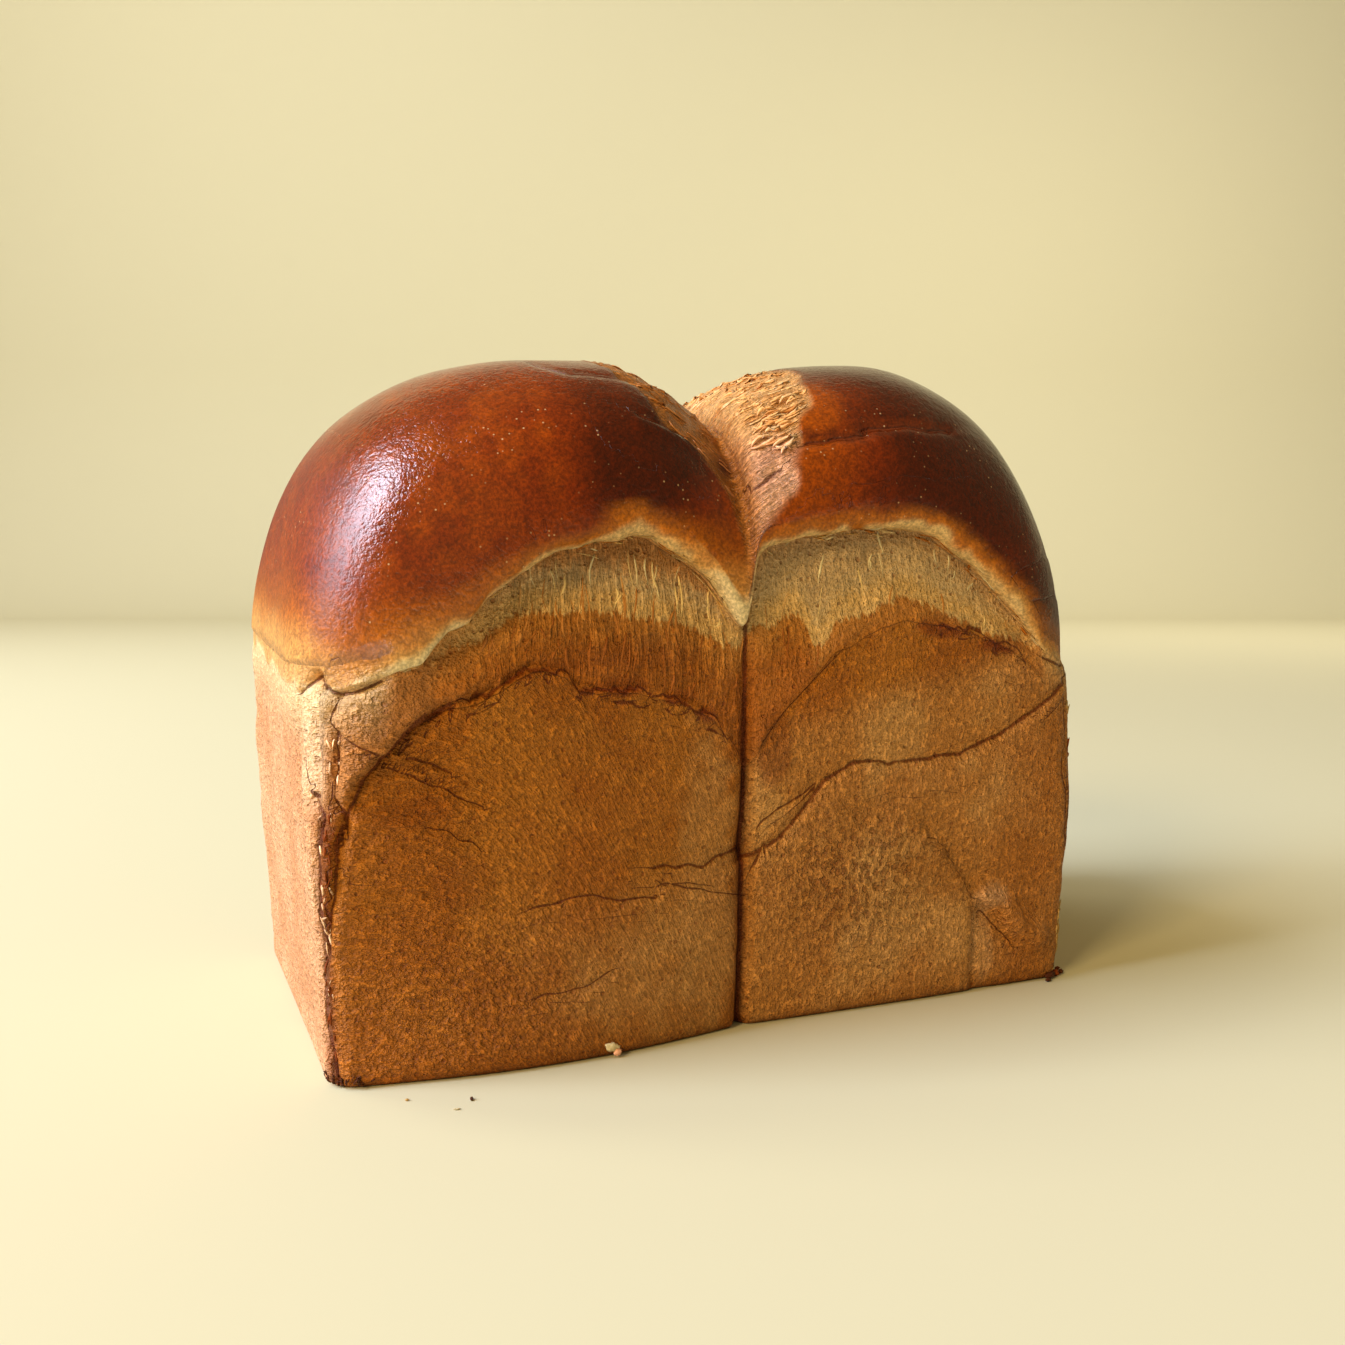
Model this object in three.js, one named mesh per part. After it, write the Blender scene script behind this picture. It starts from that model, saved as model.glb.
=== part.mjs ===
// A two-lobed tin loaf of brioche, one solid from its flat foot to its two domes.
//
// Two balls of dough were set side by side in a deep tin. Up to the rim the loaf has the tin's flat, slightly
// flaring walls, with a groove where the two balls met. Above the rim it rose free: along the front and the back the
// skin tore open in an arch under each dome, and the domed, glazed cap stands over that torn band as a lip.
//
// Millimetres. +X runs along the loaf, the front faces -Y, +Z is up, and the origin is the middle of the foot.
import * as THREE from 'three';

// ---- driving dimensions ----

const tin = {
  length: 170,        // foot of the loaf, along X
  depth: 93,          // foot of the loaf, along Y
  flare: 0.051,       // how far each wall leans out for each millimetre of height
  wallTop: 80,        // height where the walls stop leaning out
  footRound: 2,
  cornerFoot: 5,      // upright corners: radius at the foot
  cornerRim: 15,      // and where the walls stop leaning out
  cornerStart: 30,    // height where the corners begin to open
};

const crown = {
  cornerRound: 20,    // the same corners once the loaf is clear of the tin
  lipRound: 4,        // rounding of the cap's lower edge
  overhang: 1.2,      // how far the lip stands out over the tin wall
  peakLeft: 142,
  peakRight: 145,
  peakLeftX: -32,
  peakRightX: 38,
  valley: 132.5,      // lowest point of the crown line, where the domes meet
  valleyPower: 2.4,   // how steeply the domes fall into that valley
  endPower: 2.5,      // fullness of the domes towards the ends; 2 is an ellipse
  sidePower: 2.25,    // and towards the front and the back
  seamDrift: 5,       // the seam leans this far along X from front to back
};

// Each torn band is an arch. outer, top and inner are the heights at the corner, at the highest point and at the
// seam, and summit is how far along from the corner to the seam the highest point lies.
const lips = {
  front: {
    left: { outer: 75, top: 104, inner: 84, summit: 0.71 },
    right: { outer: 74, top: 105, inner: 98, summit: 0.57 },
  },
  back: {
    left: { outer: 78, top: 101, inner: 90, summit: 0.62 },
    right: { outer: 76, top: 104, inner: 88, summit: 0.66 },
  },
};
const tears = {       // where the crust baked against the tin ends and the torn band begins
  front: {
    left: { outer: 50, top: 77, inner: 60, summit: 0.48 },
    right: { outer: 70, top: 87, inner: 60, summit: 0.52 },
  },
  back: {
    left: { outer: 66, top: 84, inner: 62, summit: 0.5 },
    right: { outer: 58, top: 79, inner: 61, summit: 0.47 },
  },
};
const torn = {
  depth: 5,           // how far the band is sunk under the lip
  hollow: 1.5,        // how late it sinks: a high power keeps its foot level with the tin wall
  focus: 6,           // how quickly it ends where the wall turns round a corner
  cornerGap: 4,       // kept clear between the end of an arch and the torn band
  fadeAtCorner: 16,
  seamWidth: 5,
  keptAtSeam: 0.25,
  leastHeight: 5,
};
const arch = { half: 84, shape: 0.8, step: 0.6 };

const seam = { depth: 2.6, width: 1.7 };
const bow = { left: 5, right: 0.8, top: 60 };   // the walls belly out a little above the foot

// Folds and cracks of the walls: a line through a few points (x, z), how deep and how wide. A negative depth is a
// raised pleat. The front ones are turned half round to make the back.
const folds = [
  { line: [[0, 37], [12, 45], [24, 55], [53, 55], [72, 64], [83, 71]], depth: 1.1, width: 3 },
  { line: [[-49, 33], [-32, 30], [-17, 31], [-10, 37], [0, 38]], depth: 0.9, width: 3 },
  { line: [[-83, 72], [-82, 40], [-81, 6]], depth: 1.5, width: 2.5 },
  { line: [[52, 34], [58, 22], [63, 12], [62, 4]], depth: 1.2, width: 3 },
  { line: [[62, 22], [68, 15], [74, 9]], depth: -1.4, width: 3 },
];

// how finely the skin is divided: columns along each face, and rows up the wall
const grid = { along: 60, across: 18, foot: 2, wall: 12, torn: 6, lip: 4, crowding: 0.25 };

// ---- curves ----

const clamp = (value, low, high) => Math.min(Math.max(value, low), high);
const mix = (a, b, t) => a + (b - a) * t;
const swell = (t) => 0.5 - 0.5 * Math.cos(Math.PI * clamp(t, 0, 1));
const bell = (distance, width) => Math.exp(-((distance / width) ** 2));

function smooth(from, to, value) {
  const t = clamp((value - from) / (to - from), 0, 1);
  return t * t * (3 - 2 * t);
}

// a quarter of a superellipse: 1 at s = 0, falling to 0 at s = 1
const superRound = (s, power) => Math.max(1 - Math.abs(s) ** power, 0) ** (1 / power);

// height of an arch at q, which runs from 0 at the corner to 1 at the seam
function archHeight(q, { outer, top, inner, summit }) {
  if (q < summit) return mix(outer, top, swell(q / summit) ** arch.shape);
  return mix(inner, top, swell((1 - q) / (1 - summit)) ** arch.shape);
}

// the arches of one side, with a short step where the two lobes meet at x = 0
function archPair(x, { left, right }) {
  const share = 1 / (1 + Math.exp(-x / arch.step));
  const fromLeft = archHeight(clamp((x + arch.half) / arch.half, 0, 1), left);
  const fromRight = archHeight(clamp((arch.half - x) / arch.half, 0, 1), right);
  return mix(fromLeft, fromRight, share);
}

// a front curve and a back curve ruled across the loaf, t = -1 at the front and 1 at the back
const across = (x, t, { front, back }) => mix(archPair(x, front), archPair(x, back), (1 + t) / 2);

// ---- plan ----

const reachX = (z) => tin.length / 2 + tin.flare * Math.min(z, tin.wallTop);
const reachY = (z) => tin.depth / 2 + tin.flare * Math.min(z, tin.wallTop);

// One face's half of a rounded rectangle: a in -1..1 runs along the face and half way round each corner. Returns how
// far along, how far in from the face, and the outward normal.
function face(a, half, radius) {
  const straight = half - radius;
  const run = a * (straight + radius * Math.PI / 4);
  const turn = Math.max(Math.abs(run) - straight, 0) / radius;
  const along = Math.sign(run) * (Math.min(Math.abs(run), straight) + radius * Math.sin(turn));
  return { along, inset: radius * (1 - Math.cos(turn)), side: Math.sign(run) * Math.sin(turn), out: Math.cos(turn) };
}

// the edge of a square (u, v) carried onto a rounded rectangle
function outline(u, v, halfX, halfY, radius) {
  if (Math.abs(v) >= Math.abs(u)) {
    const f = face(u / Math.abs(v), halfX, radius);
    return { x: f.along, y: Math.sign(v) * (halfY - f.inset), nx: f.side, ny: Math.sign(v) * f.out };
  }
  const f = face(v / Math.abs(u), halfY, radius);
  return { x: Math.sign(u) * (halfX - f.inset), y: f.along, nx: Math.sign(u) * f.out, ny: f.side };
}

const rim = { x: reachX(tin.wallTop), y: reachY(tin.wallTop), round: crown.cornerRound };

// half the depth of the crown's plan at x, with the overhang of the lips
const overhang = (x) => crown.overhang * smooth(0, torn.fadeAtCorner, arch.half - torn.cornerGap - Math.abs(x));
function halfDepth(x) {
  const past = Math.max(Math.abs(x) - (rim.x - rim.round), 0);
  return rim.y - rim.round + Math.sqrt(Math.max(rim.round ** 2 - past ** 2, 0));
}

// the whole loaf leans with its seam, most in the middle of its length
const lean = (x, t) => crown.seamDrift * (1 - (1 - t) ** 2 / 4) * Math.max(1 - (x / rim.x) ** 2, 0);

// ---- walls ----

// how torn the skin is at this place round the rim: all of it along the front and the back, none at the ends
function tornShare(x, ny) {
  const reach = smooth(0, torn.fadeAtCorner, arch.half - torn.cornerGap - Math.abs(x));
  return Math.abs(ny) ** torn.focus * reach * (1 - (1 - torn.keptAtSeam) * bell(x, torn.seamWidth));
}

function distanceToLine(x, z, line) {
  let nearest = Infinity;
  for (let i = 1; i < line.length; i += 1) {
    const [ax, az] = line[i - 1];
    const [bx, bz] = line[i];
    const t = clamp(((x - ax) * (bx - ax) + (z - az) * (bz - az)) / ((bx - ax) ** 2 + (bz - az) ** 2), 0, 1);
    nearest = Math.min(nearest, Math.hypot(x - mix(ax, bx, t), z - mix(az, bz, t)));
  }
  return nearest;
}

// how far the front or back wall stands out at x, z: belly, seam groove, folds and cracks
function wallRelief(x, z, ny) {
  const facing = Math.abs(ny) ** 2;
  const turned = ny > 0 ? -x : x;
  const belly = (turned < 0 ? bow.left : bow.right) * Math.sin(Math.PI * clamp(Math.abs(x) / arch.half, 0, 1));
  const groove = seam.depth * bell(x, seam.width);
  const folding = folds.reduce((sum, f) => sum + f.depth * bell(distanceToLine(turned, z, f.line), f.width), 0);
  return facing * (belly * (1 - smooth(0, bow.top, z)) - groove - folding);
}

// A point of the wall. row counts up: round the foot, up the tin wall, in over the torn band, out round the lip.
function wallPoint(u, v, row) {
  const place = outline(u, v, rim.x, rim.y, rim.round);
  const t = clamp(place.y / halfDepth(place.x), -1, 1);
  const lip = across(place.x, t, lips);
  const tear = Math.min(across(place.x, t, tears), lip - torn.leastHeight);
  const depth = torn.depth * tornShare(place.x, place.ny);

  const foot = clamp(row / grid.foot, 0, 1) * Math.PI / 2;
  const wall = clamp((row - grid.foot) / grid.wall, 0, 1);
  const open = clamp((row - grid.foot - grid.wall) / grid.torn, 0, 1);
  const curl = clamp((row - grid.foot - grid.wall - grid.torn) / grid.lip, 0, 1) * Math.PI / 2;

  const z = tin.footRound * (1 - Math.cos(foot)) + (tear - tin.footRound) * wall + (lip - tear) * open
    + crown.lipRound * (1 - Math.cos(curl));
  const outwards = -tin.footRound * (1 - Math.sin(foot)) - depth * Math.sin(open * Math.PI / 2) ** torn.hollow
    + (depth + overhang(place.x) * Math.abs(place.ny)) * Math.sin(curl);

  // the corners open up from the tin's radius to the crown's while the row crosses the torn band and the lip
  const clear = smooth(0, 1, (open + curl / (Math.PI / 2)) / 2);
  const tinCorner = mix(tin.cornerFoot, tin.cornerRim, smooth(tin.cornerStart, tin.wallTop, z));
  const p = outline(u, v, mix(reachX(z), rim.x, clear), mix(reachY(z), rim.y, clear),
    mix(tinCorner, rim.round, clear));
  const off = outwards + wallRelief(p.x, z, p.ny) * (1 - clear);
  return [p.x + p.nx * off + lean(p.x, t), p.y + p.ny * off, z];
}

// ---- cap ----

// height of the crown line over x: two peaks, the crease between them, and both rounded ends
function ridge(x) {
  const [peak, peakX] = x < 0 ? [crown.peakLeft, crown.peakLeftX] : [crown.peakRight, crown.peakRightX];
  if (Math.abs(x) < Math.abs(peakX)) {
    return mix(peak, crown.valley, (1 - Math.abs(x / peakX)) ** crown.valleyPower);
  }
  const end = across(Math.sign(x) * rim.x, 0, lips) + crown.lipRound;
  const s = (Math.abs(x) - Math.abs(peakX)) / (rim.x - Math.abs(peakX));
  return mix(end, peak, superRound(s, crown.endPower));
}

// A point of the cap, a and b in -1..1. Rings shrink from the rim to the middle, closest together at the rim.
function capPoint(a, b) {
  const m = Math.max(Math.abs(a), Math.abs(b));
  const shrink = Math.sin(m * Math.PI / 2);
  const edge = m > 0 ? outline(a / m, b / m, rim.x, rim.y, rim.round) : { x: 0, y: 0, ny: 0 };
  const widen = m > 0 ? 1 + overhang(edge.x) * Math.abs(edge.ny) / halfDepth(edge.x) : 1;
  const x = edge.x * shrink;
  const y = edge.y * widen * shrink;
  const t = clamp(y / (halfDepth(x) + overhang(x)), -1, 1);
  const rise = ridge(x) - across(x, 0, lips) - crown.lipRound;
  return [x + lean(x, t), y, across(x, t, lips) + crown.lipRound + rise * superRound(t, crown.sidePower)];
}

// ---- skin ----

// n + 1 places from -1 to 1, closer together in the middle, where the seam is
function places(n, crowding) {
  return Array.from({ length: n + 1 }, (_, i) => {
    const t = 2 * i / n - 1;
    return t * (1 - crowding) + crowding * t ** 3;
  });
}

function loafGeometry() {
  const us = places(grid.along, grid.crowding);
  const vs = places(grid.across, 0);
  const ring = [];     // grid places round the edge, seen from above anticlockwise from the front left corner
  for (let i = 0; i < grid.along; i += 1) ring.push([i, 0]);
  for (let j = 0; j < grid.across; j += 1) ring.push([grid.along, j]);
  for (let i = grid.along; i > 0; i -= 1) ring.push([i, grid.across]);
  for (let j = grid.across; j > 0; j -= 1) ring.push([0, j]);

  const positions = [];
  const triangles = [];
  const addPoint = (point) => positions.push(...point) / 3 - 1;
  const addQuad = (a, b, c, d) => triangles.push(a, b, c, a, c, d);

  const rows = grid.foot + grid.wall + grid.torn + grid.lip;
  const wall = [];
  for (let row = 0; row <= rows; row += 1) {
    wall.push(ring.map(([i, j]) => addPoint(wallPoint(us[i], vs[j], row))));
  }
  for (let row = 0; row < rows; row += 1) {
    ring.forEach((_, p) => {
      const next = (p + 1) % ring.length;
      addQuad(wall[row][p], wall[row][next], wall[row + 1][next], wall[row + 1][p]);
    });
  }

  const middle = addPoint([0, 0, 0]);
  ring.forEach((_, p) => triangles.push(middle, wall[0][(p + 1) % ring.length], wall[0][p]));

  const cap = us.map(() => []);
  ring.forEach(([i, j], p) => { cap[i][j] = wall[rows][p]; });
  for (let i = 1; i < grid.along; i += 1) {
    for (let j = 1; j < grid.across; j += 1) cap[i][j] = addPoint(capPoint(us[i], vs[j]));
  }
  for (let i = 0; i < grid.along; i += 1) {
    for (let j = 0; j < grid.across; j += 1) addQuad(cap[i][j], cap[i + 1][j], cap[i + 1][j + 1], cap[i][j + 1]);
  }

  const geometry = new THREE.BufferGeometry();
  geometry.setAttribute('position', new THREE.Float32BufferAttribute(positions, 3));
  geometry.setIndex(triangles);
  geometry.computeVertexNormals();
  return geometry;
}

// ---- the loaf ----

const crust = new THREE.MeshStandardMaterial({ color: 0xa8642a, roughness: 0.55, metalness: 0 });
const loaf = new THREE.Mesh(loafGeometry(), crust);
loaf.name = 'loaf';

const group = new THREE.Group();
group.add(loaf);

export default group;
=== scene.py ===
import math

import bpy
import numpy as np
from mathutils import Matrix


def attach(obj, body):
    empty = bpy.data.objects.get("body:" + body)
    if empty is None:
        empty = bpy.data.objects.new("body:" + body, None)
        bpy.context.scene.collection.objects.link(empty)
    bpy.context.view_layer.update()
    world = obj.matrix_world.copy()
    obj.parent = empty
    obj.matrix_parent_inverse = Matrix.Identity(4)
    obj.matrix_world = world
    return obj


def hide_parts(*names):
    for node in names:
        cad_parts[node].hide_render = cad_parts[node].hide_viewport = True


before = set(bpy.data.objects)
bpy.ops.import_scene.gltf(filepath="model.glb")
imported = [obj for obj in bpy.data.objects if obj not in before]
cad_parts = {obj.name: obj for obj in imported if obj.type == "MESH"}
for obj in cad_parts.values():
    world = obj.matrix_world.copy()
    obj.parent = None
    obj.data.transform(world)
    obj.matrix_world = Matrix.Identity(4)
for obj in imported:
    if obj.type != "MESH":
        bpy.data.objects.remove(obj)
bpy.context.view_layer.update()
print("frame loaded")

millimetre = 0.001   # the shapes below are worked out in millimetres, and made in metres


# small helpers
def mix(a, b, t):
    return a + (b - a) * t


def swell(t):   # half a cosine wave, 0 to 1
    return 0.5 - 0.5 * np.cos(np.pi * np.clip(t, 0, 1))


def smooth(low, high, value):   # cubic step from 0 at low to 1 at high
    t = np.clip((value - low) / (high - low), 0, 1)
    return t * t * (3 - 2 * t)


def bell(distance, width):
    return np.exp(-(distance / width) ** 2)


def rotate(x, y, degrees):   # a place turned about the origin
    a = math.radians(degrees)
    return x * math.cos(a) - y * math.sin(a), x * math.sin(a) + y * math.cos(a)


def cellValue(i, j, k, seed):   # a fixed random number, -1 to 1, for each whole-numbered cell
    mask = 0xFFFFFFFF
    h = (i * 374761393 + j * 668265263 + k * 1442695041 + seed * 1274126177) & mask
    h = ((h ^ (h >> 13)) * 1274126177) & mask
    return ((h ^ (h >> 16)) & 0xFFFF) / 32767.5 - 1


def softNoise(x, y, z, seed):   # cell values blended along each axis by a cubic
    x, y, z = np.broadcast_arrays(x, y, z)
    i, j, k = [np.floor(a).astype(np.int64) for a in (x, y, z)]
    fx, fy, fz = [(a - np.floor(a)) for a in (x, y, z)]
    fx, fy, fz = [f * f * (3 - 2 * f) for f in (fx, fy, fz)]
    total = 0
    for di in (0, 1):
        for dj in (0, 1):
            for dk in (0, 1):
                weight = abs(1 - di - fx) * abs(1 - dj - fy) * abs(1 - dk - fz)
                total = total + weight * cellValue(i + di, j + dj, k + dk, seed)
    return total


def roughNoise(x, y, z, seed, octaves=2):   # soft noise in octaves, each half as large and half as high
    total = 0
    for n in range(octaves):
        total = total + softNoise(x * 2 ** n, y * 2 ** n, z * 2 ** n, seed + n) / 2 ** n
    return total


brightness = 0.72   # a surface's own share of the screen colour that it has under the lamps


def paint(red, green, blue):   # screen colour 0-255 to the linear colour that a shader socket takes
    return [brightness * (c / 12.92 if c <= 0.04045 else ((c + 0.055) / 1.055) ** 2.4)
            for c in (red / 255, green / 255, blue / 255)] + [1.0]


# camera, lamps and stage
view = {
    "stand": (-0.1195, -0.286, 0.0982),   # metres
    "turn": -23.43,      # degrees, seen from above
    "down": 4.9,         # degrees below level
    "lens": 34.8,        # millimetres on a 36 mm square
}


def makeCamera():
    camera = bpy.data.objects.new("camera", bpy.data.cameras.new("camera"))
    camera.data.lens = view["lens"]
    camera.data.sensor_width = 36
    camera.data.clip_start = 0.01
    camera.data.clip_end = 50
    camera.location = view["stand"]
    camera.rotation_euler = (math.radians(90 - view["down"]), 0, math.radians(view["turn"]))
    bpy.context.scene.collection.objects.link(camera)
    bpy.context.scene.camera = camera


lamps = [   # name, where it stands, what it points at, width and height in metres, watts, colour
    ("window", (-1.61, 0.14, 1.26), (0, 0, 0.08), (0.85, 1.8), 80, (0.68, 0.79, 1.0)),
    ("room", (-1.45, -0.9, 1.05), (0, 0, 0.08), (0.5, 0.5), 23, (1.0, 0.76, 0.38)),
    ("backdrop", (-0.9, 0.9, 1.9), (0.9, 2.7, 0.7), (1.2, 1.2), 30, (1.0, 0.98, 0.93)),
    ("farFloor", (1.2, 0.8, 1.0), (1.7, 1.4, 0.1), (0.5, 0.5), 7, (1.0, 0.95, 0.8)),
]
sky = {"colour": (1.0, 0.82, 0.42, 1), "strength": 0.26}   # light from all round


def makeLamps():
    for name, place, target, size, watts, colour in lamps:
        lamp = bpy.data.lights.new(name, "AREA")
        lamp.shape = "RECTANGLE"
        lamp.size, lamp.size_y = size
        lamp.energy = watts
        lamp.color = colour
        holder = bpy.data.objects.new(name, lamp)
        holder.location = place
        aim = np.array(target) - np.array(place)
        pitch = math.atan2(math.hypot(aim[0], aim[1]), -aim[2])
        holder.rotation_euler = (pitch, 0, math.atan2(-aim[0], aim[1]))
        holder.visible_glossy = name == "window"
        bpy.context.scene.collection.objects.link(holder)
    world = bpy.data.worlds.new("world")
    world.use_nodes = True
    world.node_tree.nodes["Background"].inputs["Color"].default_value = sky["colour"]
    world.node_tree.nodes["Background"].inputs["Strength"].default_value = sky["strength"]
    bpy.context.scene.world = world
    bpy.context.scene.view_settings.view_transform = "Standard"


paper = {"reach": 3.0, "wallStart": 1.9, "bend": 0.5, "wallHeight": 2.6, "colour": (238, 228, 190),
         "roughness": 0.85, "sheen": 0.2}


def makePaper():
    # a sheet of paper, flat under the loaf and curved up behind it: its section is a straight run, a quarter
    # circle and a straight rise, and the sheet is that section carried sideways
    turn = np.linspace(0, 1, 25)[:, None] * np.pi / 2
    flat = np.array([[-paper["reach"], 0.0], [paper["wallStart"], 0.0]])
    arc = np.hstack([paper["wallStart"] + paper["bend"] * np.sin(turn), paper["bend"] * (1 - np.cos(turn))])
    top = np.array([[paper["wallStart"] + paper["bend"], paper["wallHeight"]]])
    section = np.vstack([flat, arc[1:], top])
    side = np.array([-paper["reach"], paper["reach"]])
    points = np.stack(np.broadcast_arrays(side[None, :], section[:, :1], section[:, 1:]), -1)
    x, y = rotate(points[..., 0], points[..., 1], view["turn"])
    mesh = bpy.data.meshes.new("paper")
    rows = len(section)
    faces = [(2 * i, 2 * i + 1, 2 * i + 3, 2 * i + 2) for i in range(rows - 1)]
    mesh.from_pydata(np.stack([x, y, points[..., 2]], -1).reshape(-1, 3), [], faces)
    mesh.polygons.foreach_set("use_smooth", np.ones(rows - 1, bool))
    sheet = bpy.data.objects.new("paper", mesh)
    bpy.context.scene.collection.objects.link(sheet)
    finish = bpy.data.materials.new("paper")
    finish.use_nodes = True
    shader = finish.node_tree.nodes["Principled BSDF"]
    shader.inputs["Base Color"].default_value = paint(*paper["colour"])
    shader.inputs["Roughness"].default_value = paper["roughness"]
    shader.inputs["Specular IOR Level"].default_value = paper["sheen"]
    mesh.materials.append(finish)


makeCamera()
makeLamps()
makePaper()
print("camera, lamps and paper made")


# the loaf's form, as in the solid
tin = {"length": 170.0, "depth": 93.0, "flare": 0.051, "wallTop": 80.0, "footRound": 2.0,
       "cornerFoot": 5.0, "cornerRim": 15.0, "cornerStart": 30.0}
crown = {"cornerRound": 20.0, "lipRound": 4.0, "overhang": 1.2, "peakLeft": 142.0, "peakRight": 145.0,
         "peakLeftX": -32.0, "peakRightX": 38.0, "valley": 132.5, "valleyPower": 2.4, "endPower": 2.5,
         "sidePower": 2.25, "seamDrift": 5.0}

# arches of one lobe each: heights at the corner, summit and seam, and how far along the summit is
lips ={"frontLeft": (75, 104, 84, 0.71), "frontRight": (74, 105, 98, 0.57),
        "backLeft": (78, 101, 90, 0.62), "backRight": (76, 104, 88, 0.66)}
tears = {"backLeft": (66, 84, 62, 0.5), "backRight": (58, 79, 61, 0.47)}
pales = {"backLeft": (77, 89, 84, 0.5), "backRight": (76, 87, 83, 0.5)}   # where brown turns to pale crumb
torn = {"depth": 5.0, "hollow": 1.5, "focus": 6, "cornerGap": 4.0, "fadeAtCorner": 16.0, "seamWidth": 5.0,
        "keptAtSeam": 0.25, "leastHeight": 5.0, "rightLobe": 0.75, "pouchX": -71.0, "pouchWidth": 13.0,
        "cornerHeight": 66}
arch = {"half": 84.0, "shape": 0.8, "step": 0.6}
seam = {"depth": 2.6, "width": 1.7}
bow = {"left": 5.0, "right": 0.8, "top": 60.0}

# torn edges of the front, as (x, z) from left to right; each lobe has its own, and they part at the seam
frontEdges = {
    "lip": ([(-81, 74.3), (-75.9, 76.3), (-71.3, 78.3), (-67.2, 79.4), (-64.7, 82.1), (-62.2, 84.8),
             (-58.3, 86.4), (-54.3, 90.8), (-49, 94.5), (-43.6, 98), (-40.8, 100), (-34.3, 101.4), (-28, 102),
             (-24.8, 103.1), (-21.2, 102.7), (-18.6, 101.2), (-14.7, 98.9), (-11.5, 96.6), (-8.3, 93.9),
             (-5.8, 90.4), (-1, 83)],
            [(0.5, 98.8), (4.3, 101), (10.6, 102.5), (18.7, 103.7), (26.3, 104.8), (34.6, 105.1),
             (41.2, 104.6), (44.6, 103.5), (48.1, 101.2), (53.3, 98.1), (56.4, 95.7), (61.3, 91.2),
             (67, 85.8), (70.9, 82.1), (74, 78), (81, 74)]),
    "pale": ([(-80, 74), (-62, 81), (-55.4, 83.2), (-49.5, 86.6), (-43.6, 88.8), (-35.8, 88.3), (-27.8, 87.7),
              (-21.1, 86.9), (-12.2, 85.4), (-5.7, 82.2), (-1, 80)],
             [(0.5, 85.5), (3.6, 84.8), (7.2, 85.4), (8.6, 87.2), (11.6, 87), (13.9, 83.4), (14.9, 79.8),
              (17.9, 81.9), (19.4, 85.3), (25.2, 86.5), (29.4, 88.6), (35.7, 90), (41, 89.3), (49.4, 86.1),
              (55.1, 83.1), (62.4, 81.3), (71.3, 79), (81, 76)]),
    "tear": ([(-83.1, 44), (-82.4, 48.3), (-80.6, 53.1), (-78.1, 58.5), (-74.3, 62.4), (-69.4, 67.1),
              (-65.6, 69.4), (-61.8, 71.8), (-55.7, 72.3), (-52.3, 74), (-48.4, 76.7), (-43.6, 77.9),
              (-38.7, 76.3), (-36.5, 73.6), (-24.2, 72.9), (-19.6, 71.7), (-12.9, 69.4), (-7.4, 66.1),
              (-5.3, 63), (-1.1, 57.4)],
             [(0.5, 56), (5, 64.5), (12, 71.5), (19, 79.7), (28.7, 84), (36, 86.5), (49, 84.5), (62.5, 79.5),
              (74, 74), (81, 69)]),
}


def superRound(s, power):   # quarter of a superellipse, 1 at 0 and 0 at 1
    return np.clip(1 - np.abs(s) ** power, 0, 1) ** (1 / power)


def archHeight(q, form):   # two half waves that meet at the summit
    outer, top, inner, summit = form
    rising = mix(outer, top, swell(q / summit) ** arch["shape"])
    falling = mix(inner, top, swell((1 - q) / (1 - summit)) ** arch["shape"])
    return np.where(q < summit, rising, falling)


def lobeShare(x):   # 0 on the left lobe and 1 on the right one, with a short step at the seam
    return 1 / (1 + np.exp(-x / arch["step"]))


def archPair(x, left, right):
    fromLeft = archHeight(np.clip((x + arch["half"]) / arch["half"], 0, 1), left)
    fromRight = archHeight(np.clip((arch["half"] - x) / arch["half"], 0, 1), right)
    return mix(fromLeft, fromRight, lobeShare(x))


def across(x, t, arches):   # the front pair and the back pair, ruled across the loaf by t, -1 to 1
    front = archPair(x, arches["frontLeft"], arches["frontRight"])
    back = archPair(x, arches["backLeft"], arches["backRight"])
    return mix(front, back, (1 + t) / 2)


def frontEdge(x, name):   # one of the front's torn edges, straight between its points
    left, right = [np.array(part, float) for part in frontEdges[name]]
    return mix(np.interp(x, left[:, 0], left[:, 1]), np.interp(x, right[:, 0], right[:, 1]), lobeShare(x))


def raggedLine(x, seed):   # unevenness of a torn edge along the loaf
    return 0.75 * softNoise(x / 4.5, 0, 0, seed) + 0.4 * softNoise(x / 1.9, 0, 0, seed + 1)


def lipLine(x, t):
    # the solid's lip, with the ragged line of the photo's front or a made-up one at the back
    smoothLip = across(x, t, lips)
    inner = smooth(0, 4, 79 - np.abs(x))
    front = np.clip(frontEdge(x, "lip") - smoothLip, -4, 4) + 0.35 * raggedLine(x, 3)
    back = 1.1 * raggedLine(x, 43) + 0.8 * softNoise(x / 13, 0, 0, 45)
    return smoothLip + inner * np.where(t < 0, front, back) * np.abs(t) ** 6


def tornLine(x, back, name, arches, seed):   # a lower torn edge: the front's own line, or the back's arch
    made = archPair(x, arches["backLeft"], arches["backRight"]) + 1.8 * raggedLine(x, seed)
    return np.where(back, made, frontEdge(x, name) + 0.5 * raggedLine(x, seed + 5))


def reach(size, z):   # half a side of the tin at height z
    return size / 2 + tin["flare"] * np.minimum(z, tin["wallTop"])


rim = {"x": reach(tin["length"], 1e3), "y": reach(tin["depth"], 1e3), "round": crown["cornerRound"]}


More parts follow.
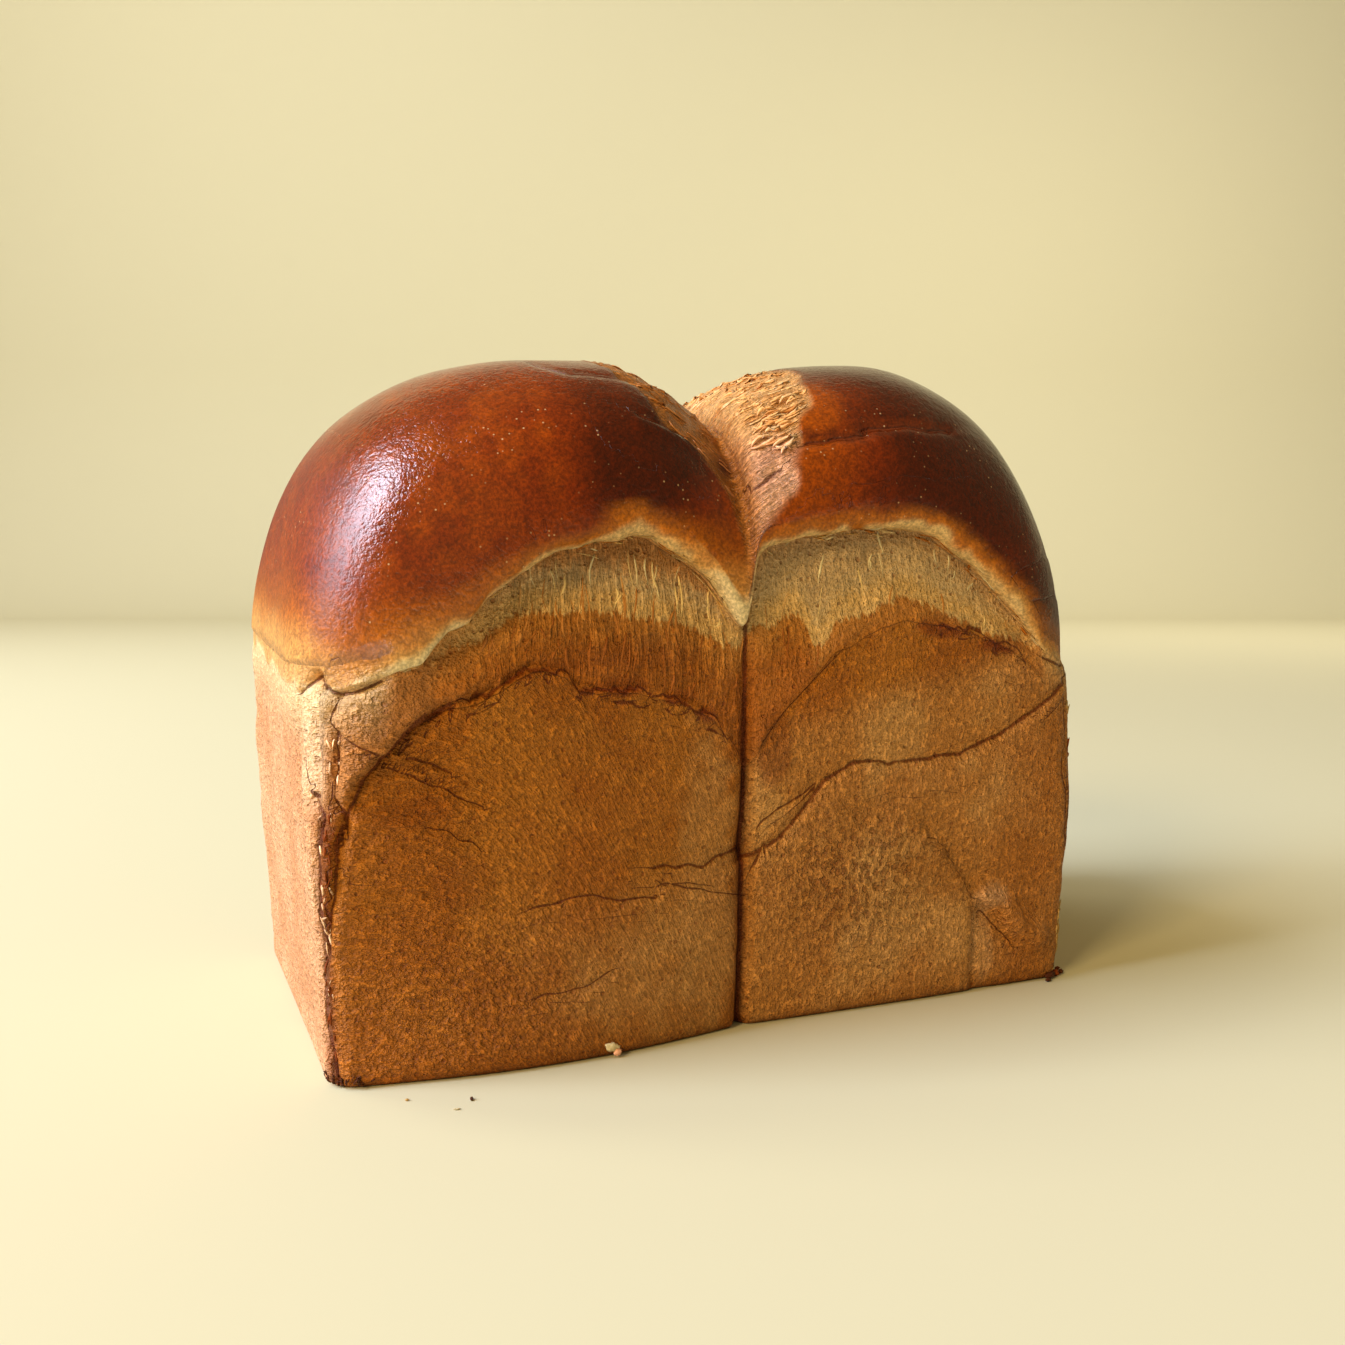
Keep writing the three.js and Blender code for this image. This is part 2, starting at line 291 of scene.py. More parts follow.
def faceRun(a, half, radius):
    # a in -1..1 runs along a straight side and half way round the arc at each end of it
    straight = half - radius
    run = a * (straight + radius * np.pi / 4)
    turn = np.maximum(np.abs(run) - straight, 0) / radius
    along = np.sign(run) * (np.minimum(np.abs(run), straight) + radius * np.sin(turn))
    return along, radius * (1 - np.cos(turn)), np.sign(run) * np.sin(turn), np.cos(turn)


def outline(u, v, halfX, halfY, radius):
    # the edge of the square (u, v) carried onto a rounded rectangle: x, y and the outward normal
    u, v, halfX, halfY, radius = np.broadcast_arrays(u, v, halfX, halfY, radius)
    m = np.maximum(np.maximum(np.abs(u), np.abs(v)), 1e-9)
    fx, fi, fs, fo = faceRun(u / m, halfX, radius)
    gy, gi, gs, go = faceRun(v / m, halfY, radius)
    onFace = np.abs(v) >= np.abs(u)
    x = np.where(onFace, fx, np.sign(u) * (halfX - gi))
    y = np.where(onFace, np.sign(v) * (halfY - fi), gy)
    nx = np.where(onFace, fs, np.sign(u) * go)
    ny = np.where(onFace, np.sign(v) * fo, gs)
    return x, y, nx, ny


def archReach(x):   # 1 along an arch, fading to 0 at the corners
    return smooth(0, torn["fadeAtCorner"], arch["half"] - torn["cornerGap"] - np.abs(x))


def halfDepth(x):   # half the depth of the crown's plan at x
    past = np.maximum(np.abs(x) - (rim["x"] - rim["round"]), 0)
    return rim["y"] - rim["round"] + np.sqrt(np.maximum(rim["round"] ** 2 - past ** 2, 0))


def lean(x, t):   # the loaf leans with its seam
    return crown["seamDrift"] * (1 - (1 - t) ** 2 / 4) * np.maximum(1 - (x / rim["x"]) ** 2, 0)


def lineDistance(x, z, line):
    # distance to the nearest point of a line, positive on its left
    best = np.full(np.broadcast(x, z).shape, 1e9)
    for (ax, az), (bx, bz) in zip(line[:-1], line[1:]):
        length = math.hypot(bx - ax, bz - az)
        t = np.clip(((x - ax) * (bx - ax) + (z - az) * (bz - az)) / length ** 2, 0, 1)
        away = np.hypot(x - mix(ax, bx, t), z - mix(az, bz, t))
        side = np.where((bx - ax) * (z - az) - (bz - az) * (x - ax) < 0, -1, 1)
        best = np.where(away < np.abs(best), away * side, best)
    return best


# what the oven and the tin did to the skin

# lines on the long walls as (x, z): how deep, how wide, how far the upper or left side stands back, and how
# strongly the line is browned
wallLines = [
    ([(0.5, 36.5), (8, 40), (12.5, 45), (18.5, 52), (24.5, 55), (30, 55.4), (37, 54.6), (53, 55.6),
      (63.5, 59.3), (72, 64.2), (83, 71)], 0.7, 1.0, 0.9, 0.85),
    ([(-46, 31.8), (-41.8, 32.2), (-36.9, 33), (-28, 31.6), (-20.5, 31.2)], 0.35, 0.9, 0.3, 0.45),
    ([(-20.4, 37), (-15, 36.6), (-9.5, 35.9), (-6.3, 37.9), (0, 38.4)], 0.5, 0.9, 0.4, 0.75),
    ([(-19.6, 33.3), (-15, 32.7), (-8.4, 31.1), (0, 28.4)], 0.3, 0.8, 0.2, 0.35),
    ([(-46, 14.2), (-40.1, 14.7), (-34.8, 15.8), (-31, 17.4)], 0.35, 0.8, 0.2, 0.3),
    ([(2.5, 42), (4.2, 44.6), (12.4, 48.9), (16.2, 51.1)], 0.3, 0.8, 0.2, 0.45),
    ([(4.2, 38.5), (2.1, 34.1)], 0.4, 0.8, 0, 0.6),
    ([(3.5, 61), (8, 67), (14, 73), (21, 79.5)], 0.4, 1.0, -0.5, 0.25),
    ([(46, 37), (49.5, 34.5), (55.7, 26.5), (58.2, 21.6)], 0.6, 1.3, 1.2, 0.2),
    ([(58.2, 21.6), (58.9, 15.9), (58.8, 7.7), (58.5, 3.2)], 0.9, 1.4, 0.9, 0.0),
    ([(60, 22), (62, 22.8), (65, 20.5), (70, 15.5), (77, 11)], -3.0, 2.3, 0, 0.0),
    ([(61.5, 18.2), (65, 15.0), (69, 10.5)], 1.2, 1.1, 0, 0.35),
    ([(-74, 60.5), (-66, 57.5), (-61, 53.5), (-56, 52)], 0.35, 1.0, 0.3, 0.35),
    ([(-70, 61.5), (-65.5, 60.4), (-62.5, 58.6)], 0.6, 0.7, 0.2, 0.6),
    (frontEdges["tear"][0][:8], 0.9, 0.9, -1.1, 0.9),   # round the left corner's pouch
    ([(-66, 49), (-61, 46.8), (-56.5, 44)], 0.3, 0.8, 0.2, 0.3),
]
# lines at the left front corner as (distance round the corner, z), with the same four numbers
cornerLines = [
    ([(-2.6, 55), (-0.2, 51.4), (-0.5, 44.4), (-1.2, 34.2), (-2.3, 17.6), (-2.2, 12.5), (0.6, 1.5)],
     1.3, 0.7, 0, 1.1),
    ([(3.2, 54), (4.4, 52.4), (4.4, 49.5), (2.9, 45.6), (2.5, 42.2), (2.1, 37), (0.8, 31.8), (-0.4, 25)],
     1.0, 0.7, 0, 0.55),
    ([(2.5, 73.6), (1.0, 69.5), (2.4, 67), (2.7, 60.7), (2.1, 58), (2.1, 55.3), (3.2, 53.5)],
     1.5, 0.7, 0, 0.35),
    ([(-1.5, 71), (-2.2, 66), (-0.8, 60), (-1.6, 55)], 0.7, 0.7, 0, 0.0),
    ([(-5, 71), (-5.8, 66), (-4.2, 60)], 0.5, 0.8, 0, 0.0),
    ([(3.8, 66.7), (7, 64.6), (10.6, 62.3)], 0.9, 1.0, -0.9, 0.3),
    ([(-9.6, 73.8), (-6, 75.2), (-2.7, 77.2)], 1.4, 0.8, 0, 0.7),
    ([(-2.7, 77.2), (-1, 75), (2.5, 73.9), (6, 74.6), (10.5, 76.4)], 1.6, 0.8, 0, 0.6),
    ([(-9.5, 72), (-10.2, 66), (-6, 59), (-3, 54.5)], 0.8, 1.6, 0.7, 0.15),
    ([(-14, 88), (-13, 74), (-11.5, 60), (-9, 44)], 0.9, 3.0, 0, 0.0),
]
wallPatches = [   # other shades on the long walls: x, z, half width, half height, how strong, which
    (48, 84.5, 7.5, 3.0, 0.8, "toast"), (64, 80, 7, 2.4, 1.0, "toast"), (-28, 73.8, 6, 1.6, 1.0, "toast"),
    (-15, 71.2, 4, 1.5, 1.0, "toast"), (-49, 76.6, 4, 1.2, 0.7, "toast"), (-9, 67.3, 2.2, 1.8, 1.0, "toast"),
    (-40, 78, 4, 1.0, 0.7, "toast"), (6, 60, 4, 8, 0.5, "toast"), (-22, 80, 13, 3.2, 0.4, "toast"),
    # the two pillar patches on the raised fold low on the right are pale partly as a painted highlight
    (-70, 52, 9, 3, 0.35, "toast"), (-60, 38, 6, 5, 0.3, "toast"), (63, 22, 5, 3, 0.3, "pillar"),
    (61, 11, 3, 9, 0.2, "pillar"), (-9, 30, 7, 34, 0.55, "rosyLight"),
]
pits = [(27, 30, 19, 15, 1.0), (-55, 18, 26, 14, 0.45)]   # where the walls are pitted: the same numbers
knot = {"x": -2, "z": 117.5, "size": 2.4}   # a brown spot at the bottom of the valley's front
crownPatches = [   # other shades on the front of the crown, as on the walls; the two crack-coloured ones are painted shadow under the right lobe's folds
    (22, 124.4, 9, 1.3, 1.0, "crack"), (38, 127.4, 14, 1.5, 1.0, "crack"), (19, 131, 7, 6, 0.6, "capOrange"),
]
# heights of the relief
skin = {"dents": 0.7, "small": 0.25, "pebbles": 0.16, "fibres": 0.16, "clumps": 0.75, "shreds": 0.5,
        "flank": 0.8, "wrinkles": 0.6, "pouch": 1.2, "ledgeDip": 1.2, "ledgeStep": 0.5, "fold": 0.8}
flank = {   # torn sides of the valley: how far they reach from the seam at each height, right and left of it
    "right": ([99, 102, 107, 113, 120, 126, 132, 138, 143], [0.3, 0.6, 4.6, 9, 12, 13, 14.5, 18.5, 22]),
    "left": ([90, 102, 111, 118, 122, 126, 132, 139, 142], [0.5, 1.7, 4.5, 8.5, 13, 18, 20, 24, 27]),
    "ragged": 3.2, "slope": 0.55, "sink": 0.9,
}
# folds and dents of the crown: front (-1) or back (1), line as (x, z), depth, width, how far the upper side
# stands back, how strongly it is browned
crownLines = [
    # the browned lines of these two folds are widened as painted shadow under them
    (-1, [(13.9, 122.8), (21.7, 123.8), (28, 124.8)], 1.6, 1.3, 0.8, 1.2),
    (-1, [(28, 126.2), (31, 126.6), (37, 127), (44, 126.6), (51, 126.8)], 1.5, 1.2, 0.8, 1.2),
    (-1, [(19.6, 111.8), (20.8, 106.5)], 0.9, 0.8, 0, 0.15),
    (-1, [(21.9, 111.9), (23.1, 106.8)], 0.9, 0.8, 0, 0.15),
    (-1, [(23.8, 114), (27, 114.8), (30.3, 114.4), (31.2, 108.5)], 0.7, 0.9, 0.3, 0.15),
    (-1, [(-46.5, 104.5), (-45.2, 99.5)], 0.7, 0.8, 0, 0.1),
    (-1, [(-43.8, 105.5), (-43, 100.5)], 0.6, 0.7, 0, 0.1),
    (-1, [(66, 96.3), (73, 98), (77.4, 99.7), (81, 99.7)], 0.7, 0.9, 0.3, 0.45),
    (-1, [(68.2, 88.8), (76, 90), (83.1, 90.1)], 0.7, 0.9, 0.3, 0.45),
    (-1, [(-23, 127), (-14.4, 124), (-9, 120.5)], 0.9, 0.8, 0, 1.1),
    (-1, [(-24, 125.2), (-14.4, 122.2), (-8.5, 118.5), (-4.5, 111.2), (-1.7, 102.5)], -1.1, 1.2, 0, 0),
    (-1, [(1.3, 113.1), (6, 116.8)], 1.2, 0.9, 0, 1.0),
    (-1, [(-39, 139.3), (-33.8, 136.3), (-27.9, 135.8), (-21, 135)], 0.7, 1.0, 0.5, 0.5),
    (1, [(20, 118), (34, 121), (47, 120)], 0.9, 1.0, 0.5, 0.6),
    (1, [(-20, 124), (-13, 120.5), (-7, 112)], -0.9, 1.2, 0, 0),
    (1, [(-62, 108), (-52, 111), (-44, 110)], 0.7, 0.9, 0.3, 0.4),
]


farAway = 9.0    # distance from a line at which nothing of it shows
noBorder = 200   # height of the pale crumb's border where nothing tore


def noiseDents(x, y, z):
    broad = skin["dents"] * softNoise(x / 26, y / 26, z / 22, 3)
    small = skin["small"] * softNoise(x / 9, y / 9, z / 7, 5)
    return broad + small + skin["pebbles"] * roughNoise(x / 3.0, y / 3.0, z / 3.0, 7)


def fibreRelief(x, z, seed):   # upright shreds: noise much longer than it is wide, in strands and in clumps
    sway = 2.5 * softNoise(x / 22, z / 16, 0, seed)
    strands = 0.5 - np.abs(softNoise((x + sway) / 1.7, z / 10, 0, seed + 1))
    clumps = softNoise((x + sway) / 5.5, z / 7, 0, seed + 2)
    tufts = np.abs(softNoise((x + sway) / 3.1, z / 3.5, 0, seed + 4))
    return skin["fibres"] * strands * 2 + skin["clumps"] * clumps - skin["shreds"] * tufts


def nearer(crack, gap, where):   # whichever signed distance is the smaller
    return np.where(where & (np.abs(gap) < np.abs(crack)), gap, crack)


def drawLines(lines, a, b, wander, crack, relief, weight):
    # each line cuts or raises the skin by a bell across it and lets its upper side stand back by a soft step;
    # the browned ones leave their signed distance in crack, so that the line itself is where it crosses 0
    for line, depth, width, step, brown in lines:
        gap = lineDistance(a + wander, b + wander, line)
        relief = relief - weight * depth * bell(gap, width)
        relief = relief - weight * step * smooth(-0.7, 0.7, gap) * bell(gap, 7)
        if brown > 0:
            crack = nearer(crack, gap / brown, weight > 0.3)
    return crack, relief


def wallProfile(row, tear, lip, depth, overhang, sharpness):
    # the wall's section: rows count up round the foot, up the tin wall, in over the torn band and out round
    # the lip. Gives the height, how far out it stands, and how far up the band and round the lip it is
    aboveFoot = row - loafGrid["foot"]
    foot = np.clip(row / loafGrid["foot"], 0, 1) * np.pi / 2
    wall = np.clip(aboveFoot / loafGrid["wall"], 0, 1)
    wall = wall + loafGrid["closing"] * np.sin(np.pi * wall)   # rows stand closer together near the tear
    opened = np.clip((aboveFoot - loafGrid["wall"]) / loafGrid["torn"], 0, 1)
    curl = np.clip((aboveFoot - loafGrid["wall"] - loafGrid["torn"]) / loafGrid["lip"], 0, 1) * np.pi / 2
    z = (tin["footRound"] * (1 - np.cos(foot)) + (tear - tin["footRound"]) * wall + (lip - tear) * opened
         + crown["lipRound"] * (1 - np.cos(curl)))
    outwards = (-tin["footRound"] * (1 - np.sin(foot)) - depth * np.sin(opened * np.pi / 2) ** torn["hollow"]
                + (depth + overhang) * np.sin(curl) ** sharpness)
    return z, outwards, opened, curl


def cornerSkin(corner, z, aboveTear, strength, wander, crack, relief):
    # lines, upright wrinkles, soft pouch and browned strip of a corner; corner is the way round from its
    # middle, above 0 on the long wall and below 0 on the end
    crack, relief = drawLines(cornerLines, corner, z, 0.5 * wander, crack, relief, strength)
    pillar = smooth(-15, -5, corner) * smooth(5, 1, corner) * smooth(50, 58, z) * smooth(80, 74, z) * strength
    ribs = np.abs(softNoise(corner / 1.5 + 0.4 * softNoise(z / 4, 0, 0, 52), z / 7, 0, 51))
    relief = relief + pillar * skin["wrinkles"] * (0.8 - 1.3 * ribs)
    pouch = strength * smooth(2, 5, corner) * smooth(24, 17, corner) * aboveTear * smooth(84, 77, z)
    stripAt = mix(-0.6, 1.2, smooth(30, 50, z))
    strip = strength * smooth(0.9, 0.4, np.abs(corner - stripAt) / 2.2) * smooth(55, 51, z)
    return crack, relief, pillar, pouch, strip


def ledgeSkin(px, z, tear, turned, share, crack, relief):
    # the edge where the tin-baked wall ends: a broken dip and a step under it, a jagged browned line, and
    # short dark tears below
    broken = softNoise(px / 5, 0, 0, 31) + 0.5 * softNoise(px / 2, z / 3, 0, 32)
    ledge = share * mix(1, 0.6 * smooth(38, 48, turned), lobeShare(turned)) * smooth(-80, -72, turned)
    relief = relief - skin["ledgeDip"] * ledge * bell(z - tear - 0.6, 0.9) * smooth(-0.5, 0.3, broken)
    relief = relief - skin["ledgeStep"] * ledge * smooth(-0.3, 0.6, z - tear) * (1 - smooth(4, 9, z - tear))
    jagged = 0.9 * softNoise(px / 1.8, 0, 0, 33) + 0.5 * softNoise(px / 0.8, z / 2, 0, 34)
    crack = nearer(crack, (z - tear - jagged) / mix(0.5, 1.5, smooth(-0.3, 0.6, broken)), ledge > 0.45)
    under = softNoise(px / 2.6, z / 1.6, 0, 35)
    crack = nearer(crack, (z - tear + 2.6 + 2.2 * under) / 0.9, (ledge > 0.5) & (np.abs(under) < 0.32))
    return crack, relief


def wallSurface(u, v, row):
    # points and fields of the wall: (u, v) on the edge of the square -1..1 is the way round, row the way up
    px, py, _, pny = outline(u, v, rim["x"], rim["y"], rim["round"])
    t = np.clip(py / halfDepth(px), -1, 1)
    back = pny > 0
    turned = np.where(back, -px, px)   # the back wall is the front one turned half round
    right = lobeShare(turned)
    byPouch = turned - torn["pouchX"]
    share = np.abs(pny) ** torn["focus"] * archReach(px)
    lip = lipLine(px, t)
    tear = mix(torn["cornerHeight"], tornLine(px, back, "tear", tears, 11), share ** 0.3)
    tear = np.minimum(tear, lip - torn["leastHeight"])
    depth = torn["depth"] * share * (1 - (1 - torn["keptAtSeam"]) * bell(px, torn["seamWidth"]))
    depth = depth * mix(1, torn["rightLobe"], right)
    depth = depth * (1 - 0.8 * bell(byPouch, torn["pouchWidth"]))
    overhang = crown["overhang"] * archReach(px) * np.abs(pny)
    sharpness = mix(1, 0.55, share)   # the lip's under side is flat where it tore
    z, outwards, opened, curl = wallProfile(row, tear, lip, depth, overhang, sharpness)

    clear = smooth(0, 1, (opened + curl / (np.pi / 2)) / 2)
    closed = 1 - clear
    radius = mix(tin["cornerFoot"], tin["cornerRim"], smooth(tin["cornerStart"], tin["wallTop"], z))
    radius = mix(radius, rim["round"], clear)
    halfX = mix(reach(tin["length"], z), rim["x"], clear)
    halfY = mix(reach(tin["depth"], z), rim["y"], clear)
    x, y, nx, ny = outline(u, v, halfX, halfY, radius)
    facing = np.abs(ny) ** 2
    side = np.where(back, -x, x)
    belly = np.where(turned < 0, bow["left"], bow["right"])
    belly = belly * np.sin(np.pi * np.clip(np.abs(x) / arch["half"], 0, 1))
    groove = seam["width"] * (1 + 0.25 * softNoise(z / 9, 0, 0, 91))
    relief = facing * (belly * (1 - smooth(0, bow["top"], z)) - seam["depth"] * bell(x, groove)) * closed

    crack = np.full(x.shape, farAway)
    wander = 0.55 * softNoise(turned / 2.6, z / 2.6, 3 + back, 21)
    weight = facing * closed * np.where(back, 0.8, 1)
    crack, relief = drawLines(wallLines, side, z, wander, crack, relief, weight)
    onFace = np.abs(v) >= np.abs(u)
    quarter = radius * (1 - np.pi / 4)
    corner = np.where(onFace, (1 - np.abs(u)) * (halfX - quarter), -(1 - np.abs(v)) * (halfY - quarter))
    strength = np.where((px < 0) & (py < 0), 1.0, np.where((px > 0) & (py > 0), 0.8, 0.35))
    strength = strength * smooth(22, 17, np.abs(corner))
    aboveTear = smooth(-0.5, 1.0, z - frontEdge(turned, "tear"))
    crack, relief, pillar, pouch, strip = cornerSkin(corner, z, aboveTear, strength, wander, crack, relief)
    relief = relief + skin["pouch"] * pouch * closed

    inBand = np.sin(np.clip(opened, 0, 1) * np.pi) ** 0.5 * share
    shredded = inBand * (1 - 0.9 * bell(byPouch, torn["pouchWidth"] * 0.85))
    relief = relief + shredded * mix(1.0, 0.6, right) * fibreRelief(px, z, 60)
    relief = relief + noiseDents(x, y, z) * mix(1, 0.4, clear) * smooth(0, 5, z)
    crack, relief = ledgeSkin(px, z, tear, turned, share, crack, relief)
    off = outwards + relief
    point = np.stack([x + nx * off + lean(x, t), y + ny * off, z * np.ones_like(x)], -1)

    rise = z - lip
    border = mix(noBorder, tornLine(px, back, "pale", pales, 17), smooth(0, 0.4, share))
    fleshy = np.clip(pouch + pillar + 0.8 * bell(byPouch, torn["pouchWidth"]) * aboveTear, 0, 1)
    tornShare = smooth(0.1, 0.5, share) * (1 - smooth(0.02, 0.12, curl)) * smooth(-0.6, 0.4, z - tear)
    pitted = sum(amount * bell(side - px, wide) * bell(z - pz, high) for px, pz, wide, high, amount in pits)
    fields = {
        "rise": rise, "cap": mix(smooth(-14, 10, rise), smooth(0.08, 0.2, curl), smooth(0.1, 0.6, share)),
        "torn": tornShare * (1 - 0.85 * fleshy), "pale": z - border, "flank": 0 * x, "crack": crack,
        "seam": np.where(facing * closed > 0.5, np.abs(x), farAway), "pouch": np.maximum(pouch, pillar),
        "strip": strip, "end": 1 - facing, "fleshy": fleshy, "side": side, "leftward": 1 - right,
        "pitted": facing * closed * pitted,
    }
    girth = np.where(onFace, np.abs(x), rim["x"] + rim["y"] - np.abs(y))   # way round from the nearest seam
    fields["across"], fields["along"] = wallGrain(px, girth, z, fields["torn"] > 0.5)
    return point, fields


def wallGrain(px, girth, z, band):
    # coordinates for grain, in cells: upright fibres in the torn band, wrinkles that fall ever more steeply
    # towards the seam round the left lobe, and shorter upright ones round the right lobe. The fall is the
    # integral of a slope that grows by a cubic step
    sway = 2.5 * softNoise(px / 22, z / 16, 0, 60)
    leftLobe = px < 0
    s = np.clip((85 - girth) / 75, 0, 1)
    fall = 0.15 * (85 - girth) + 2.0 * (75 * (s ** 3 - s ** 4 / 2) + np.maximum(10 - girth, 0))
    acrossGrain = np.where(band, (px + sway) / 0.9, np.where(leftLobe, (z + fall) / 1.15, girth))
    alongGrain = np.where(band, z / 6.5, np.where(leftLobe, (girth + 0.9 * z) / 3.2, z / 1.9))
    return acrossGrain, alongGrain


def ridge(x):
    # two peaks, the crease between them, and both rounded ends
    peak = np.where(x < 0, crown["peakLeft"], crown["peakRight"])
    peakX = np.where(x < 0, -crown["peakLeftX"], crown["peakRightX"])
    end = across(np.where(x < 0, -1, 1) * rim["x"], 0, lips) + crown["lipRound"]
    inside = mix(peak, crown["valley"], np.clip(1 - np.abs(x) / peakX, 0, 1) ** crown["valleyPower"])
    s = np.clip((np.abs(x) - peakX) / (rim["x"] - peakX), 0, 1)
    return np.where(np.abs(x) < peakX, inside, mix(end, peak, superRound(s, crown["endPower"])))


def flankShare(x, z):
    # 1 on the torn sides of the valley, fading out where the glazed cap begins
    rag = flank["ragged"] * (softNoise(x / 9, z / 6, 0, 71) + 0.6 * softNoise(x / 3, z / 2.5, 0, 72))
    right = np.interp(z, *flank["right"])
    left = np.interp(z, *flank["left"])
    right = right + rag * np.minimum(right / 15, 1)
    left = left + 0.3 * rag * np.minimum(left / 15, 1)
    return np.where(x > 0, 1 - smooth(-2, 2, x - right), 1 - smooth(-0.7, 0.7, -x - left))


def crownHeight(x, y):
    # the crown before its relief: height over a place in plan, how far across that is, and the lip below it
    t = np.clip(y / (halfDepth(x) + crown["overhang"] * archReach(x)), -1, 1)
    low = across(x, t, lips)
    rise = ridge(x) - across(x, 0, lips) - crown["lipRound"]
    return low + crown["lipRound"] + rise * superRound(t, crown["sidePower"]), t, low


def valleyRelief(x, y, z):
    # shreds and folds that climb away from the seam, with clumps, on skin that is smoother low in the valley;
    # also gives the coordinate across the shreds
    slope = z - np.abs(y) - flank["slope"] * np.abs(x)
    wave = softNoise(x / 7, slope / 7, 0, 80)
    shreds = 0.5 - np.abs(softNoise(slope / 2.1 + wave, x / 6, 0, 81))
    folds = 0.5 - np.abs(softNoise(slope / 4.2 - wave, x / 5 + 0.7 * wave, 0, 84))
    clumps = softNoise(slope / 6, x / 8, z / 30, 82)
    lively = smooth(112, 128, z)
    relief = skin["flank"] * (shreds + folds) * mix(0.35, 1, lively) + skin["fold"] * clumps * lively
    return relief - flank["sink"], slope


def crownAt(x, y, fade):
    # the crown over a place in plan; fade is 0 at the rim, where it meets the last ring of the wall. The
    # relief pushes outwards from the middle of each lobe, as if the lobe were an ellipsoid
    z, t, low = crownHeight(x, y)
    z = z + (lipLine(x, t) - low) * (1 - fade) ** 3
    share = flankShare(x, z)
    pulled, slope = valleyRelief(x, y, z)
    relief = skin["dents"] * softNoise(x / 30, y / 30, z / 30, 3)
    relief = relief + skin["small"] * softNoise(x / 11, y / 11, z / 11, 5) + share * pulled
    relief = relief - seam["depth"] * bell(x, seam["width"] * 1.2) * (1 - np.abs(t) ** 3)
    crack = np.full(x.shape, farAway)
    wander = 0.5 * softNoise(x / 3, z / 3, 0, 85)
    for facing, *line in crownLines:
        crack, relief = drawLines([line], x, z, wander, crack, relief, smooth(0.25, 0.5, facing * t))
    centre = np.where(x < 0, crown["peakLeftX"], crown["peakRightX"])
    push = np.stack([(x - centre) / 50 ** 2 * smooth(0, 8, np.abs(x)), y / 52 ** 2, (z - 92) / 50 ** 2], -1)
    push = push / np.linalg.norm(push, axis=-1, keepdims=True)
    point = np.stack([x + lean(x, t), y, z], -1) + push * (fade * relief)[..., None]
    one, nothing = np.ones_like(x), np.zeros_like(x)
    fields = {
        "rise": z - low, "cap": one, "torn": nothing, "pale": 99 * one, "flank": share, "crack": crack,
        "seam": np.abs(x) * mix(4.5, 1.6, np.abs(t) ** 4), "pouch": nothing, "strip": nothing,
        "end": smooth(70, 88, np.abs(x)), "fleshy": nothing, "side": x, "leftward": 1 - lobeShare(x),
        "pitted": nothing, "across": slope / 0.85, "along": x / 4.0,
    }
    return point, fields


def capSurface(a, b):
    # rings shrink from the rim to the middle, closest together at the rim
    m = np.maximum(np.abs(a), np.abs(b))
    shrink = np.sin(m * np.pi / 2)
    ex, ey, _, eny = outline(a, b, rim["x"], rim["y"], rim["round"])
    ey = ey * (1 + crown["overhang"] * archReach(ex) * np.abs(eny) / halfDepth(ex))
    return crownAt(ex * shrink, ey * shrink, np.clip(1 - m, 0, 1) ** 0.4)


# colour of the skin
bake = {   # screen colours
    "wallLight": (222, 138, 46), "wallDark": (206, 120, 34), "wallRed": (140, 62, 12), "tan": (214, 142, 78),
    "rosyLight": (250, 182, 106), "rosyDark": (230, 154, 76), "endLight": (256, 194, 144),
    "endDark": (244, 170, 118), "pillar": (280, 228, 178), "toast": (154, 70, 10), "capRed": (130, 43, 0),
    "capDark": (80, 21, 0), "capOrange": (176, 78, 0), "gold": (202, 114, 14), "paleGold": (236, 186, 108),
    "flankLight": (280, 206, 126), "flankDark": (228, 138, 56), "flankRosyAndSheen": (290, 216, 176),
    "flankLeft": (200, 112, 22), "crumb": (252, 228, 174), "crumbCream": (256, 234, 180),
    "crumbGreyAndLipShade": (226, 206, 160), "crumbBrownAndLipShade": (232, 176, 118), "crumbGold": (272, 230, 152),
    "shred": (216, 144, 68), "shredDeep": (184, 104, 36), "crack": (112, 42, 10), "knot": (96, 36, 22),
    "foot": (96, 48, 18), "speckAndGlint": (246, 204, 150),
}


def tint(name):
    return np.array(paint(*bake[name])[:3])


def over(base, name, amount):   # lay a named colour over an array of colours
    return base + (tint(name) - base) * np.clip(amount, 0, 1)[..., None]


def tones(first, second, amount):   # from one named colour to another
    return over(np.broadcast_to(tint(first), amount.shape + (3,)), second, amount)


def blended(colour, other, amount):
    return colour + (other - colour) * amount[..., None]


def patched(colour, patches, across, z, small, strength):   # each patch fills an ellipse with a ragged edge
    for px, pz, halfWidth, halfHeight, amount, shade in patches:
        away = ((across - px) / halfWidth) ** 2 + ((z - pz) / halfHeight) ** 2
        colour = over(colour, shade, amount * strength * smooth(1.5, 0.4, away + 0.45 * small))
    return colour


